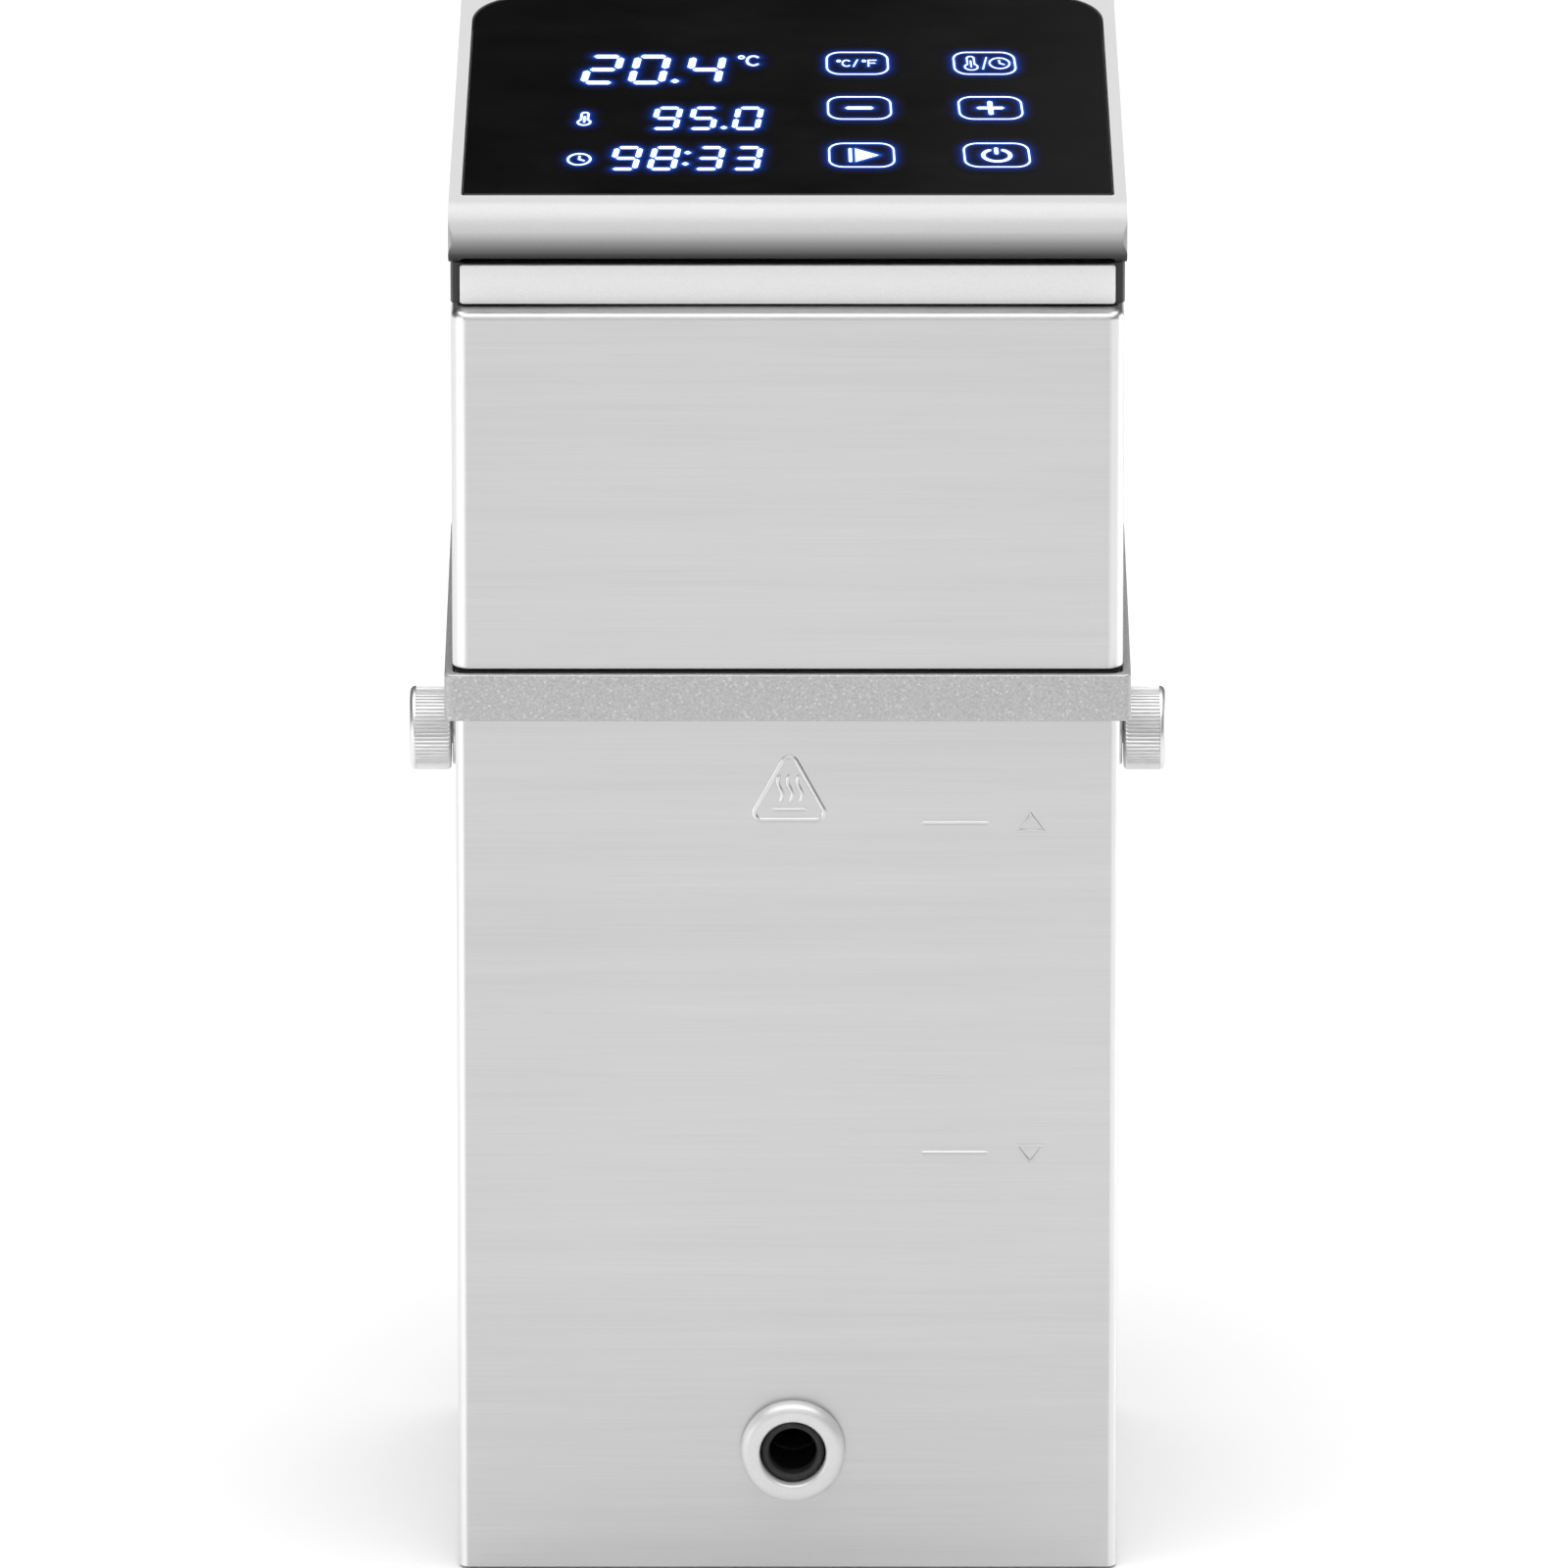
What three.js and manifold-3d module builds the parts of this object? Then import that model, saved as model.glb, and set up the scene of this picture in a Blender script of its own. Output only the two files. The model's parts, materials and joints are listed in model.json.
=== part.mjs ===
// A commercial sous vide circulator, in millimetres, +Z up, front towards -Y.
// The origin is the centre of the bottom face of the base.
//
// From the bottom up it is a removable steel sleeve with a slotted base, a cast collar that carries the
// pot clamp, an upper steel housing for the motor and the electronics, a black neck with side vents, and
// a sloping head with a glass touch panel.

import * as THREE from "three";
import { mergeVertices } from "three/addons/utils/BufferGeometryUtils.js";
import Module from "manifold-3d";

const wasm = await Module();
wasm.setup();

// ------------------------------------------------------------------ driving dimensions

const GAP = 0.3; // left between pieces that touch
const FIT = 0.35; // sliding clearance of the sleeve

// Lower sleeve and base
const BODY_WIDTH = 125.5;
const BODY_DEPTH = 93.9;
const SLEEVE_HEIGHT = 173;
const SLEEVE_WALL = 1.2;
const SLEEVE_EDGE = 2; // radius of the upright edges
const BASE_THICKNESS = 1.5;
const TAB_SIZE = 9; // corner tabs that the base screws hold
const TAB_THICKNESS = 2;
const INTAKE_SLOT = { width: 4, length: 26, pitch: 12, eachSide: 3, fromMiddle: 7 };
const BASE_SCREW = { head: 2.8, shank: 1.3, length: 7.5, hole: 1.8 };

// Water outlet
const OUTLET_X = 1;
const OUTLET_Z = 24;
const OUTLET_RING = { outer: 10, bore: 6.3, thickness: 3 };
const LINER = { bore: 4.55, recess: 1.4 };

// Pump
const PUMP = { radius: 23, cavity: 19, bottom: 9.5, cavityTop: 31.5, top: 35.5 };
const PUMP_BOSS_REACH = 30;
const PUMP_BOSS_WALL = 3;
const DUCT = { outer: 8, bore: 6 };
const LID = { thickness: 2.7, eye: 8 };
const IMPELLER = { radius: 16, bottom: 13.5, top: 27.5, disc: 2, hub: 5.2, vanes: 6, vane: 1.6, sweep: 28 };
const COLUMN = { outer: 9, bore: 6.5, flange: 17, flangeThickness: 3 };
const SHAFT_RADIUS = 3;
const BUSH = { height: 10, lift: 4 };
const SEAL = { outer: 10, wallGap: 0.6 };

// Heater and probes
const HEATER_TUBE = 4.25; // tube radius
const HEATER_CLEARANCE = 3.5; // to the sleeve wall
const HEATER = { belowDeck: 61, pitch: 14, turns: 3.5, inner: 26, rise: 47, above: 6 };
const HEATER_NUT = { radius: 8, height: 4 };
const PROBE = { radius: 2.5, depth: 111, across: -0.5, back: 0.526 }; // place as shares of the coil radius
const LEVEL_ROD = { radius: 2, depth: 90, across: 0.526, back: 0.526 };
const PROBE_ABOVE = 6;

// Deck and collar
const DECK_THICKNESS = 5.8;
const DECK_TAB = { thickness: 3.2, width: 28, drop: 29 };
const COLLAR = { height: 9.2, wall: 1.7, edge: 2.6, proud: 0.5 };
const GASKET = { thickness: 0.4, width: 4, inset: 0.4 };

// Thumb screws that hold the sleeve
const THUMB_BELOW = 19.6; // axis below the top edge of the sleeve
const THUMB_KNOB = { radius: 8, length: 7.95, chamfer: 1.1, stud: 3, reach: 14 };
const THUMB_WASHER = { radius: 7, thickness: 0.8 };
const NOTCH_WIDTH = 7;
const STUD_NUT = { radius: 6.5, thickness: 5.7 };

// Upper housing
const HOUSING_STEP = 0.55; // how far it stands proud of the sleeve on each side
const HOUSING_HEIGHT = 70.4;
const HOUSING_WALL = 1.2;
const HOUSING_EDGE = 3.4; // radius of the upright edges
const HOUSING_RIM = 1.5; // radius of the top and bottom edges
const HOUSING_LEDGE = 7.3; // width of the ledge round the opening on top
const VENT = { width: 2.6, pitch: 6, eachSide: 7, belowTop: 7, aboveBottom: 35.4 };
const PILLAR = { radius: 3.5, inset: 12.5 };
const MOTOR = { radius: 25, inletRoom: 21.95, height: 40, boss: 9, bossHeight: 2 };
const SHAFT_ABOVE_MOTOR = 5;

// Electronics
const MAIN_BOARD = { width: 100, thickness: 1.6, fromFront: 5.5, lift: 6.4, belowTop: 11 };
const TRANSFORMER = { width: 28, depth: 11, height: 26, x: -20, lift: 14.4 };
const HEAT_SINK = { width: 34, base: 2, depth: 9, height: 30, x: 20, lift: 14.4, fins: 6, fin: 1.4 };
const FAN = { size: 40, depth: 10, rim: 1.4, belowTop: 0.8, aboveInlet: 1.5, hub: 9 };
const FAN_SPOKE = { width: 2, thickness: 1.2 };
const FAN_ROTOR = { depth: 7, tipGap: 1, blades: 7, chord: 8.4, blade: 1.2, pitch: 32 };
const INLET = { width: 50, height: 22.5, flange: 2.5, lift: 17.4, body: { width: 27, height: 19 } };
const INLET_SOCKET = { width: 24, height: 16.8, depth: 16, chamfer: 4.5, floor: 4 };
const INLET_PIN = { width: 2, height: 4, length: 22, spread: 7, earthLift: 3.4 };
const INLET_SCREW = { spread: 20, head: 2.8, headHeight: 1.8, shank: 1.5, length: 8 };

// Neck
const NECK_HEIGHT = 8;
const NECK_SETBACK = 5.4; // from the front of the housing to the front of the neck frame
const NECK_WALL = 2;
const NECK_FLOOR = 1.5;
const NECK_OVERHANG = 0.1; // side of the neck beyond the side of the housing
const NECK_WINDOW = { width: 84, depth: 54 };
const NECK_SPIGOT = { height: 4, wall: 1.6, fit: 0.5 };
const NECK_VENT = { length: 5, height: 4, pitch: 8, eachSide: 3, lift: 2.2 };
const NECK_BAND = { thickness: 0.8, side: 1.8, trim: 0.15 };

// Head and control panel
const HEAD_OVERHANG = 0.5; // side of the head beyond the side of the housing, at the front
const HEAD_TAPER = 1.8; // how much each side draws in from front to rear
const HEAD_SLOPE = 12; // degrees
const NOSE_RADIUS = 6;
const REAR_RADIUS = 8;
const HEAD_CORNER = 12; // rear corners seen from above
const HEAD_FRONT_CORNER = 1.2;
const HEAD_WALL = 2;
const PANEL_RIM = 2.6; // cover left visible beside the glass
const PANEL_LEDGE = { width: 3, thickness: 1.6 };
const GLASS = { thickness: 2.6, start: 2.7, rearRim: 1.3, corner: 9.5, frontCorner: 0.6 };
const DISPLAY_BOARD = { inset: 9, thickness: 1.6, below: 9.5 };
const LED_BLOCK = { width: 48, depth: 42, thickness: 4.2, x: -24, along: 37 };

// Pot clamp
const CLAMP = { width: 44, earWidth: 70, height: 50.1, jaw: 2.5, bridge: 4.5, leg: 5, round: 4 };
const CLAMP_AXIS_BELOW = 29.1; // below the top of the bracket
const CLAMP_BOSS = { radius: 9, length: 6 };
const JAW_PAD = { thickness: 2, width: 40, height: 32 };
const CLAMP_OPENING = 18;
const CLAMP_TRAVEL = 17.5;
const PRESSURE_PAD = { radius: 13, thickness: 6, socket: 3.6, rim: 1.2 };
const CLAMP_SCREW_RADIUS = 4;
const CLAMP_KNOB = { radius: 15.2, lobe: 1.8, lobes: 5, length: 16, bore: 7, edge: 1.6 };
const BRACKET_BOLT = { x: 28, shank: 1.5, head: 3, headHeight: 2.6, length: 12, z: 3.2 };

// ------------------------------------------------------------------ levels and places worked out from them

const halfWidth = BODY_WIDTH / 2;
const halfDepth = BODY_DEPTH / 2;
const innerHalfWidth = halfWidth - SLEEVE_WALL;
const innerHalfDepth = halfDepth - SLEEVE_WALL;

const deckBottom = SLEEVE_HEIGHT + GAP;
const deckTop = deckBottom + DECK_THICKNESS;
const thumbZ = SLEEVE_HEIGHT - THUMB_BELOW;
const collarTop = deckTop + COLLAR.proud;
const collarBottom = collarTop - COLLAR.height;
const collarInnerX = halfWidth + FIT;
const collarInnerY = halfDepth + FIT;
const collarOuterX = collarInnerX + COLLAR.wall;
const collarOuterY = collarInnerY + COLLAR.wall;

const housingHalfWidth = halfWidth + HOUSING_STEP;
const housingHalfDepth = halfDepth + HOUSING_STEP;
const housingBottom = deckTop + GAP + GASKET.thickness + GAP;
const housingTop = housingBottom + HOUSING_HEIGHT;
const inletZ = housingBottom + INLET.lift;
const inletTop = inletZ + INLET.body.height / 2;
const fanTop = housingTop - HOUSING_WALL - FAN.belowTop;
const fanSize = Math.min(FAN.size, fanTop - inletTop - FAN.aboveInlet);
const fanBore = fanSize / 2 - FAN.rim;

const neckBottom = housingTop + GAP;
const neckTop = neckBottom + NECK_HEIGHT;
const neckHalfWidth = housingHalfWidth + NECK_OVERHANG;
const neckFront = -housingHalfDepth + NECK_SETBACK;

const headBottom = neckTop + GAP;
const headHalfWidth = housingHalfWidth + HEAD_OVERHANG;
const slope = THREE.MathUtils.degToRad(HEAD_SLOPE);
const noseY = -housingHalfDepth + NOSE_RADIUS;
const noseZ = headBottom + NOSE_RADIUS;
const panelStart = {
  y: noseY - NOSE_RADIUS * Math.sin(slope),
  z: noseZ + NOSE_RADIUS * Math.cos(slope),
};
const rearY = housingHalfDepth - REAR_RADIUS;
const panelEndY = rearY - REAR_RADIUS * Math.sin(slope);
const panelLength = (panelEndY - panelStart.y) / Math.cos(slope);
const rearZ = panelStart.z + panelLength * Math.sin(slope) - REAR_RADIUS * Math.cos(slope);

const heaterRadius = innerHalfDepth - HEATER_CLEARANCE - HEATER_TUBE;
const sealBore = SHAFT_RADIUS + SEAL.wallGap;
const motorRadius = Math.min(MOTOR.radius, halfDepth - MOTOR.inletRoom);
const motorBottom = deckTop + GAP;
const motorTop = motorBottom + MOTOR.height;
const jawFront = collarOuterY + GAP;
const jawPadFront = jawFront + CLAMP.jaw + GAP;
const pressureFace = jawPadFront + JAW_PAD.thickness + CLAMP_OPENING;
const legFront = pressureFace + PRESSURE_PAD.thickness + 0.5;
const bossRear = legFront + CLAMP.leg + CLAMP_BOSS.length;
const clampKnobFront = bossRear + CLAMP_TRAVEL + 0.7;
const clampZ = collarTop - CLAMP_AXIS_BELOW;
const tabOuter = innerHalfWidth - FIT;

// ------------------------------------------------------------------ materials

const finish = (color, roughness, metalness) =>
  new THREE.MeshStandardMaterial({ color, roughness, metalness });

const brushedSteel = finish(0xcfcfcf, 0.34, 1);
const satinSteel = finish(0xe2e2e2, 0.26, 1);
const castAlloy = finish(0xb8b8b8, 0.62, 0.9);
const machinedAlloy = finish(0xc9c9c9, 0.4, 1);
const silverCover = finish(0xe0e0e0, 0.3, 0.6);
const blackGlass = finish(0x08080a, 0.06, 0);
const blackPlastic = finish(0x1b1b1c, 0.5, 0);
const blackRubber = finish(0x141414, 0.85, 0);
const boardGreen = finish(0x1f5a36, 0.55, 0.1);
const displayGrey = finish(0x24272c, 0.4, 0);
const brass = finish(0xb89a55, 0.35, 1);
const windingCopper = finish(0x8c5a32, 0.45, 0.8);
const bronze = finish(0x9a7340, 0.45, 0.9);

// ------------------------------------------------------------------ geometry helpers

const MERGE = 1e-4;

// A closed three.js geometry as a manifold-3d solid with its faces pointing out.
function solid(geometry) {
  const bare = geometry.index ? geometry.toNonIndexed() : geometry.clone();
  bare.deleteAttribute("normal");
  bare.deleteAttribute("uv");
  const merged = mergeVertices(bare, MERGE);
  const corners = [];
  const index = merged.index.array;
  for (let i = 0; i < index.length; i += 3) {
    const [a, b, c] = [index[i], index[i + 1], index[i + 2]];
    if (a !== b && b !== c && c !== a) corners.push(a, b, c);
  }
  const vertProperties = merged.attributes.position.array;
  const build = (triVerts) => new wasm.Manifold(new wasm.Mesh({ numProp: 3, vertProperties, triVerts }));
  const made = build(new Uint32Array(corners));
  return made.volume() > 0 ? made : build(new Uint32Array(corners.reverse()));
}

// A manifold-3d solid as a three.js geometry.
function geometryOf(made) {
  const mesh = made.getMesh();
  const places = new Float32Array(mesh.numVert * 3);
  for (let i = 0; i < mesh.numVert; i += 1) {
    const start = i * mesh.numProp;
    places.set(mesh.vertProperties.subarray(start, start + 3), i * 3);
  }
  const geometry = new THREE.BufferGeometry();
  geometry.setAttribute("position", new THREE.BufferAttribute(places, 3));
  geometry.setIndex(new THREE.BufferAttribute(mesh.triVerts, 1));
  return geometry;
}

const join = (first, ...rest) => rest.reduce((whole, piece) => whole.add(piece), first);
const cut = (first, ...rest) => rest.reduce((whole, piece) => whole.subtract(piece), first);

// Points along an arc, angles in degrees, anticlockwise when "to" is greater than "from".
function arc(cx, cy, radius, from, to, steps) {
  const points = [];
  for (let i = 0; i <= steps; i += 1) {
    const angle = THREE.MathUtils.degToRad(from + ((to - from) * i) / steps);
    points.push(new THREE.Vector2(cx + radius * Math.cos(angle), cy + radius * Math.sin(angle)));
  }
  return points;
}

const circle = (cx, cy, radius, sides = 24) => arc(cx, cy, radius, 0, 360, sides).slice(0, -1);
const points2 = (pairs) => pairs.map(([x, y]) => new THREE.Vector2(x, y));

function rectangle(x0, x1, y0, y1) {
  return points2([
    [x0, y0],
    [x1, y0],
    [x1, y1],
    [x0, y1],
  ]);
}

function roundedRect(x0, x1, y0, y1, radius, steps = 4) {
  return [
    ...arc(x1 - radius, y1 - radius, radius, 0, 90, steps),
    ...arc(x0 + radius, y1 - radius, radius, 90, 180, steps),
    ...arc(x0 + radius, y0 + radius, radius, 180, 270, steps),
    ...arc(x1 - radius, y0 + radius, radius, 270, 360, steps),
  ];
}

const centredRect = (halfX, halfY, radius, steps) =>
  roundedRect(-halfX, halfX, -halfY, halfY, radius, steps);

const extruded = (outline, depth) =>
  new THREE.ExtrudeGeometry(new THREE.Shape(outline), { depth, bevelEnabled: false });

// An outline drawn in X and Y, extruded from z0 to z1.
const slabZ = (outline, z0, z1) => solid(extruded(outline, z1 - z0).translate(0, 0, z0));

// An outline drawn in Y and Z, extruded from x0 to x1.
function slabX(outline, x0, x1) {
  const turn = new THREE.Matrix4().makeBasis(
    new THREE.Vector3(0, 1, 0),
    new THREE.Vector3(0, 0, 1),
    new THREE.Vector3(1, 0, 0),
  );
  return solid(extruded(outline, x1 - x0).applyMatrix4(turn).translate(x0, 0, 0));
}

// An outline drawn in X and Z, extruded from y0 to y1.
function slabY(outline, y0, y1) {
  const turn = new THREE.Matrix4().makeBasis(
    new THREE.Vector3(1, 0, 0),
    new THREE.Vector3(0, 0, 1),
    new THREE.Vector3(0, -1, 0),
  );
  return solid(extruded(outline, y1 - y0).applyMatrix4(turn).translate(0, y1, 0));
}

const block = (x0, x1, y0, y1, z0, z1) => slabZ(rectangle(x0, x1, y0, y1), z0, z1);

// A slab whose top and bottom edges are rounded.
function softSlabZ(outline, z0, z1, edge, steps = 2) {
  const geometry = new THREE.ExtrudeGeometry(new THREE.Shape(outline), {
    depth: z1 - z0 - 2 * edge,
    bevelEnabled: true,
    bevelThickness: edge,
    bevelSize: edge,
    bevelOffset: -edge,
    bevelSegments: steps,
  });
  return solid(geometry.translate(0, 0, z0 + edge));
}

// A profile of [radius, height] pairs turned about the Z axis.
function turned(profile, sides = 24) {
  return solid(new THREE.LatheGeometry(points2(profile), sides).rotateX(Math.PI / 2));
}

const ring = (outer, bore, z0, z1, sides) =>
  turned(
    [
      [bore, z0],
      [outer, z0],
      [outer, z1],
      [bore, z1],
      [bore, z0],
    ],
    sides,
  );

const disc = (radius, z0, z1, sides) =>
  turned(
    [
      [0, z0],
      [radius, z0],
      [radius, z1],
      [0, z1],
    ],
    sides,
  );

const spread = (count, pitch) => Array.from({ length: 2 * count + 1 }, (_, i) => (i - count) * pitch);
const bothSides = [-1, 1];
const corners = [
  { name: "front_left", x: -1, y: -1 },
  { name: "front_right", x: 1, y: -1 },
  { name: "rear_left", x: -1, y: 1 },
  { name: "rear_right", x: 1, y: 1 },
];
const sideName = (side) => (side < 0 ? "left" : "right");

// ------------------------------------------------------------------ scene graph helpers

const circulator = new THREE.Group();

function add(parent, name, made, material) {
  const mesh = new THREE.Mesh(geometryOf(made), material);
  mesh.name = name;
  parent.add(mesh);
  return mesh;
}

// A group whose own +Z axis points along the given direction.
function facing(parent, position, direction) {
  const group = new THREE.Group();
  group.position.set(...position);
  const turn = { "+x": [0, 90], "-x": [0, -90], "+y": [-90, 0], "-y": [90, 0] }[direction];
  group.rotation.x = THREE.MathUtils.degToRad(turn[0]);
  group.rotation.y = THREE.MathUtils.degToRad(turn[1]);
  parent.add(group);
  return group;
}

// ------------------------------------------------------------------ sleeve, base and outlet

const tabCentreX = innerHalfWidth - TAB_SIZE / 2 - 0.8;
const tabCentreY = innerHalfDepth - TAB_SIZE / 2 - 0.8;

function makeSleeve() {
  const outside = slabZ(centredRect(halfWidth, halfDepth, SLEEVE_EDGE), 0, SLEEVE_HEIGHT);
  const innerEdge = SLEEVE_EDGE - SLEEVE_WALL;
  const inside = slabZ(centredRect(innerHalfWidth, innerHalfDepth, innerEdge, 2), -1, SLEEVE_HEIGHT + 1);
  const notch = [
    ...arc(0, thumbZ, NOTCH_WIDTH / 2, 180, 360, 8),
    new THREE.Vector2(NOTCH_WIDTH / 2, SLEEVE_HEIGHT + 1),
    new THREE.Vector2(-NOTCH_WIDTH / 2, SLEEVE_HEIGHT + 1),
  ];
  const outlet = slabY(circle(OUTLET_X, OUTLET_Z, OUTLET_RING.bore), -halfDepth - 1, -innerHalfDepth + 1);
  let sleeve = cut(outside, inside, slabX(notch, -halfWidth - 1, halfWidth + 1), outlet);
  const tabBottom = BASE_THICKNESS + GAP;
  for (const { x, y } of corners) {
    const [x0, x1] = [innerHalfWidth - TAB_SIZE, innerHalfWidth + SLEEVE_WALL / 2].map((v) => v * x);
    const [y0, y1] = [innerHalfDepth - TAB_SIZE, innerHalfDepth + SLEEVE_WALL / 2].map((v) => v * y);
    const tab = block(
      Math.min(x0, x1),
      Math.max(x0, x1),
      Math.min(y0, y1),
      Math.max(y0, y1),
      tabBottom,
      tabBottom + TAB_THICKNESS,
    );
    const hole = slabZ(circle(x * tabCentreX, y * tabCentreY, BASE_SCREW.hole, 12), 0, 10);
    sleeve = cut(join(sleeve, tab.intersect(outside)), hole);
  }
  return sleeve;
}

function makeBasePlate() {
  const fit = GAP;
  const outline = centredRect(innerHalfWidth - fit, innerHalfDepth - fit, SLEEVE_EDGE - SLEEVE_WALL, 2);
  let plate = slabZ(outline, 0, BASE_THICKNESS);
  const { width, length, pitch, eachSide, fromMiddle } = INTAKE_SLOT;
  for (const x of spread(eachSide, pitch)) {
    for (const side of bothSides) {
      const y = side * (fromMiddle + length / 2);
      const slot = roundedRect(x - width / 2, x + width / 2, y - length / 2, y + length / 2, width / 2, 2);
      plate = cut(plate, slabZ(slot, -1, BASE_THICKNESS + 1));
    }
  }
  const countersink = [
    [0, -1],
    [BASE_SCREW.head + GAP, -1],
    [BASE_SCREW.head + GAP, 0.3],
    [BASE_SCREW.hole, BASE_THICKNESS + 0.1],
    [BASE_SCREW.hole, BASE_THICKNESS + 1],
    [0, BASE_THICKNESS + 1],
  ];
  const sink = turned(countersink, 16);
  for (const { x, y } of corners) {
    plate = cut(plate, sink.translate([x * tabCentreX, y * tabCentreY, 0]));
  }
  return plate;
}

function makeBaseScrew() {
  const { head, shank, length } = BASE_SCREW;
  return turned(
    [
      [0, 0.3],
      [head, 0.3],
      [head, 0.6],
      [shank, BASE_THICKNESS + 0.2],
      [shank, length],
      [0, length],
    ],
    16,
  );
}

function makeOutletRing() {
  const { outer, bore, thickness } = OUTLET_RING;
  const round = 1.7;
  const inner = 0.7;
  const outside = arc(outer - round, thickness - round, round, 0, 90, 3).map((p) => [p.x, p.y]);
  const inside = arc(bore + inner, thickness - inner, inner, 90, 180, 1).map((p) => [p.x, p.y]);
  return turned([[bore, 0], [outer, 0], ...outside, ...inside, [bore, 0]], 32);
}

function addSleeve() {
  const group = new THREE.Group();
  circulator.add(group);
  add(group, "sleeve", makeSleeve(), brushedSteel);
  add(group, "base_plate", makeBasePlate(), brushedSteel);
  for (const { name, x, y } of corners) {
    const screw = add(group, `base_screw_${name}`, makeBaseScrew(), satinSteel);
    screw.position.set(x * tabCentreX, y * tabCentreY, 0);
  }
  const outlet = facing(group, [OUTLET_X, -halfDepth - GAP, OUTLET_Z], "-y");
  add(outlet, "outlet_ring", makeOutletRing(), satinSteel);
  const linerFront = OUTLET_RING.thickness - LINER.recess;
  const liner = ring(OUTLET_RING.bore - GAP, LINER.bore, -SLEEVE_WALL - GAP, linerFront);
  add(outlet, "outlet_liner", liner, blackRubber);
}

// ------------------------------------------------------------------ pump and drive

function makePumpHousing() {
  const { radius, cavity, bottom, cavityTop, top } = PUMP;
  const boss = DUCT.bore + PUMP_BOSS_WALL;
  const body = disc(radius, bottom, top, 28);
  const outlet = slabY(circle(OUTLET_X, OUTLET_Z, boss), -PUMP_BOSS_REACH, 0);
  const room = disc(cavity, bottom - 1, cavityTop, 28);
  const bore = slabY(circle(OUTLET_X, OUTLET_Z, DUCT.bore), -PUMP_BOSS_REACH - 1, 0);
  const shaftHole = disc(SHAFT_RADIUS + 1, cavityTop - 1, top + 1, 20);
  return cut(join(body, outlet), room, bore, shaftHole);
}

function makeImpeller() {
  const { radius, bottom, top, disc: plate, hub, vanes, vane, sweep } = IMPELLER;
  let wheel = join(disc(radius, top - plate, top, 30), disc(hub, bottom, top, 20));
  for (let i = 0; i < vanes; i += 1) {
    const reach = Math.sqrt(radius * radius - 9) - 0.4;
    const blade = block(3, reach, -vane / 2, vane / 2, bottom, top - plate / 2);
    const swept = blade.rotate([0, 0, -sweep]).translate([0, 1.6, 0]);
    wheel = join(wheel, swept.rotate([0, 0, (360 * i) / vanes]));
  }
  return cut(wheel, disc(SHAFT_RADIUS + GAP, bottom - 1, top + 1, 20));
}

function makeColumn() {
  const { outer, bore, flange, flangeThickness } = COLUMN;
  const bottom = PUMP.top + GAP;
  const top = deckBottom - GAP;
  return turned(
    [
      [bore, bottom],
      [outer, bottom],
      [outer, top - flangeThickness],
      [flange, top - flangeThickness],
      [flange, top],
      [bore, top],
      [bore, bottom],
    ],
    28,
  );
}

function makeMotor() {
  const can = softSlabZ(circle(0, 0, motorRadius, 28), motorBottom, motorTop, 1.5, 1);
  const boss = disc(MOTOR.boss, motorTop - 1, motorTop + MOTOR.bossHeight, 24);
  const bore = disc(SHAFT_RADIUS + GAP, motorBottom - 1, motorTop + 5, 20);
  return cut(join(can, boss), bore);
}

function addPump() {
  const group = new THREE.Group();
  circulator.add(group);
  add(group, "pump_housing", makePumpHousing(), satinSteel);
  const lid = ring(PUMP.radius - 0.5, LID.eye, PUMP.bottom - GAP - LID.thickness, PUMP.bottom - GAP, 28);
  add(group, "pump_lid", lid, satinSteel);
  add(group, "impeller", makeImpeller(), blackPlastic);
  add(group, "pump_column", makeColumn(), satinSteel);
  const bushBottom = PUMP.top + BUSH.lift;
  const bush = ring(COLUMN.bore - GAP, SHAFT_RADIUS + GAP, bushBottom, bushBottom + BUSH.height, 20);
  add(group, "shaft_bush", bush, bronze);
  const seal = ring(SEAL.outer, sealBore, deckBottom, deckTop, 24);
  add(group, "shaft_seal", seal, blackRubber);
  const shaft = disc(SHAFT_RADIUS, IMPELLER.bottom, motorTop + SHAFT_ABOVE_MOTOR, 20);
  add(group, "drive_shaft", shaft, satinSteel);
  add(group, "motor_body", makeMotor(), windingCopper);
  const ductLength = innerHalfDepth - GAP - (PUMP_BOSS_REACH + GAP);
  const duct = facing(group, [OUTLET_X, -PUMP_BOSS_REACH - GAP, OUTLET_Z], "-y");
  add(duct, "outlet_duct", ring(DUCT.outer, DUCT.bore, 0, ductLength), blackRubber);
}

// ------------------------------------------------------------------ heater and probes

// The tube comes down through the deck, winds round the pump column, turns in under the last winding
// and goes back up inside the coil to the deck.
function heaterPath() {
  const { belowDeck, pitch, turns, inner, above } = HEATER;
  const places = [];
  const top = deckBottom - belowDeck;
  const bottom = top - pitch * turns;
  const rise = deckBottom - HEATER.rise;
  const end = deckTop + above;
  const at = (radius, degrees, z) => {
    const angle = THREE.MathUtils.degToRad(degrees);
    places.push(new THREE.Vector3(radius * Math.cos(angle), radius * Math.sin(angle), z));
  };
  for (const z of [end, (end + top) / 2 + 14, top + 20, top + 8]) at(heaterRadius, 0, z);
  const perTurn = 12;
  for (let i = 1; i <= perTurn * turns; i += 1) {
    at(heaterRadius, (360 * i) / perTurn, top - (pitch * i) / perTurn);
  }
  const last = 360 * turns;
  at((heaterRadius + inner) / 2 + 2, last + 24, bottom - 6);
  at(inner, last + 26, bottom + 3);
  for (const z of [bottom + 20, bottom + 40, rise - 8]) at(inner, last + 20, z);
  at((heaterRadius + inner) / 2, last + 8, rise + 4);
  for (const z of [rise + 18, (end + rise) / 2 + 12, end]) at(heaterRadius, last, z);
  return new THREE.CatmullRomCurve3(places, false, "centripetal");
}

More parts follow.
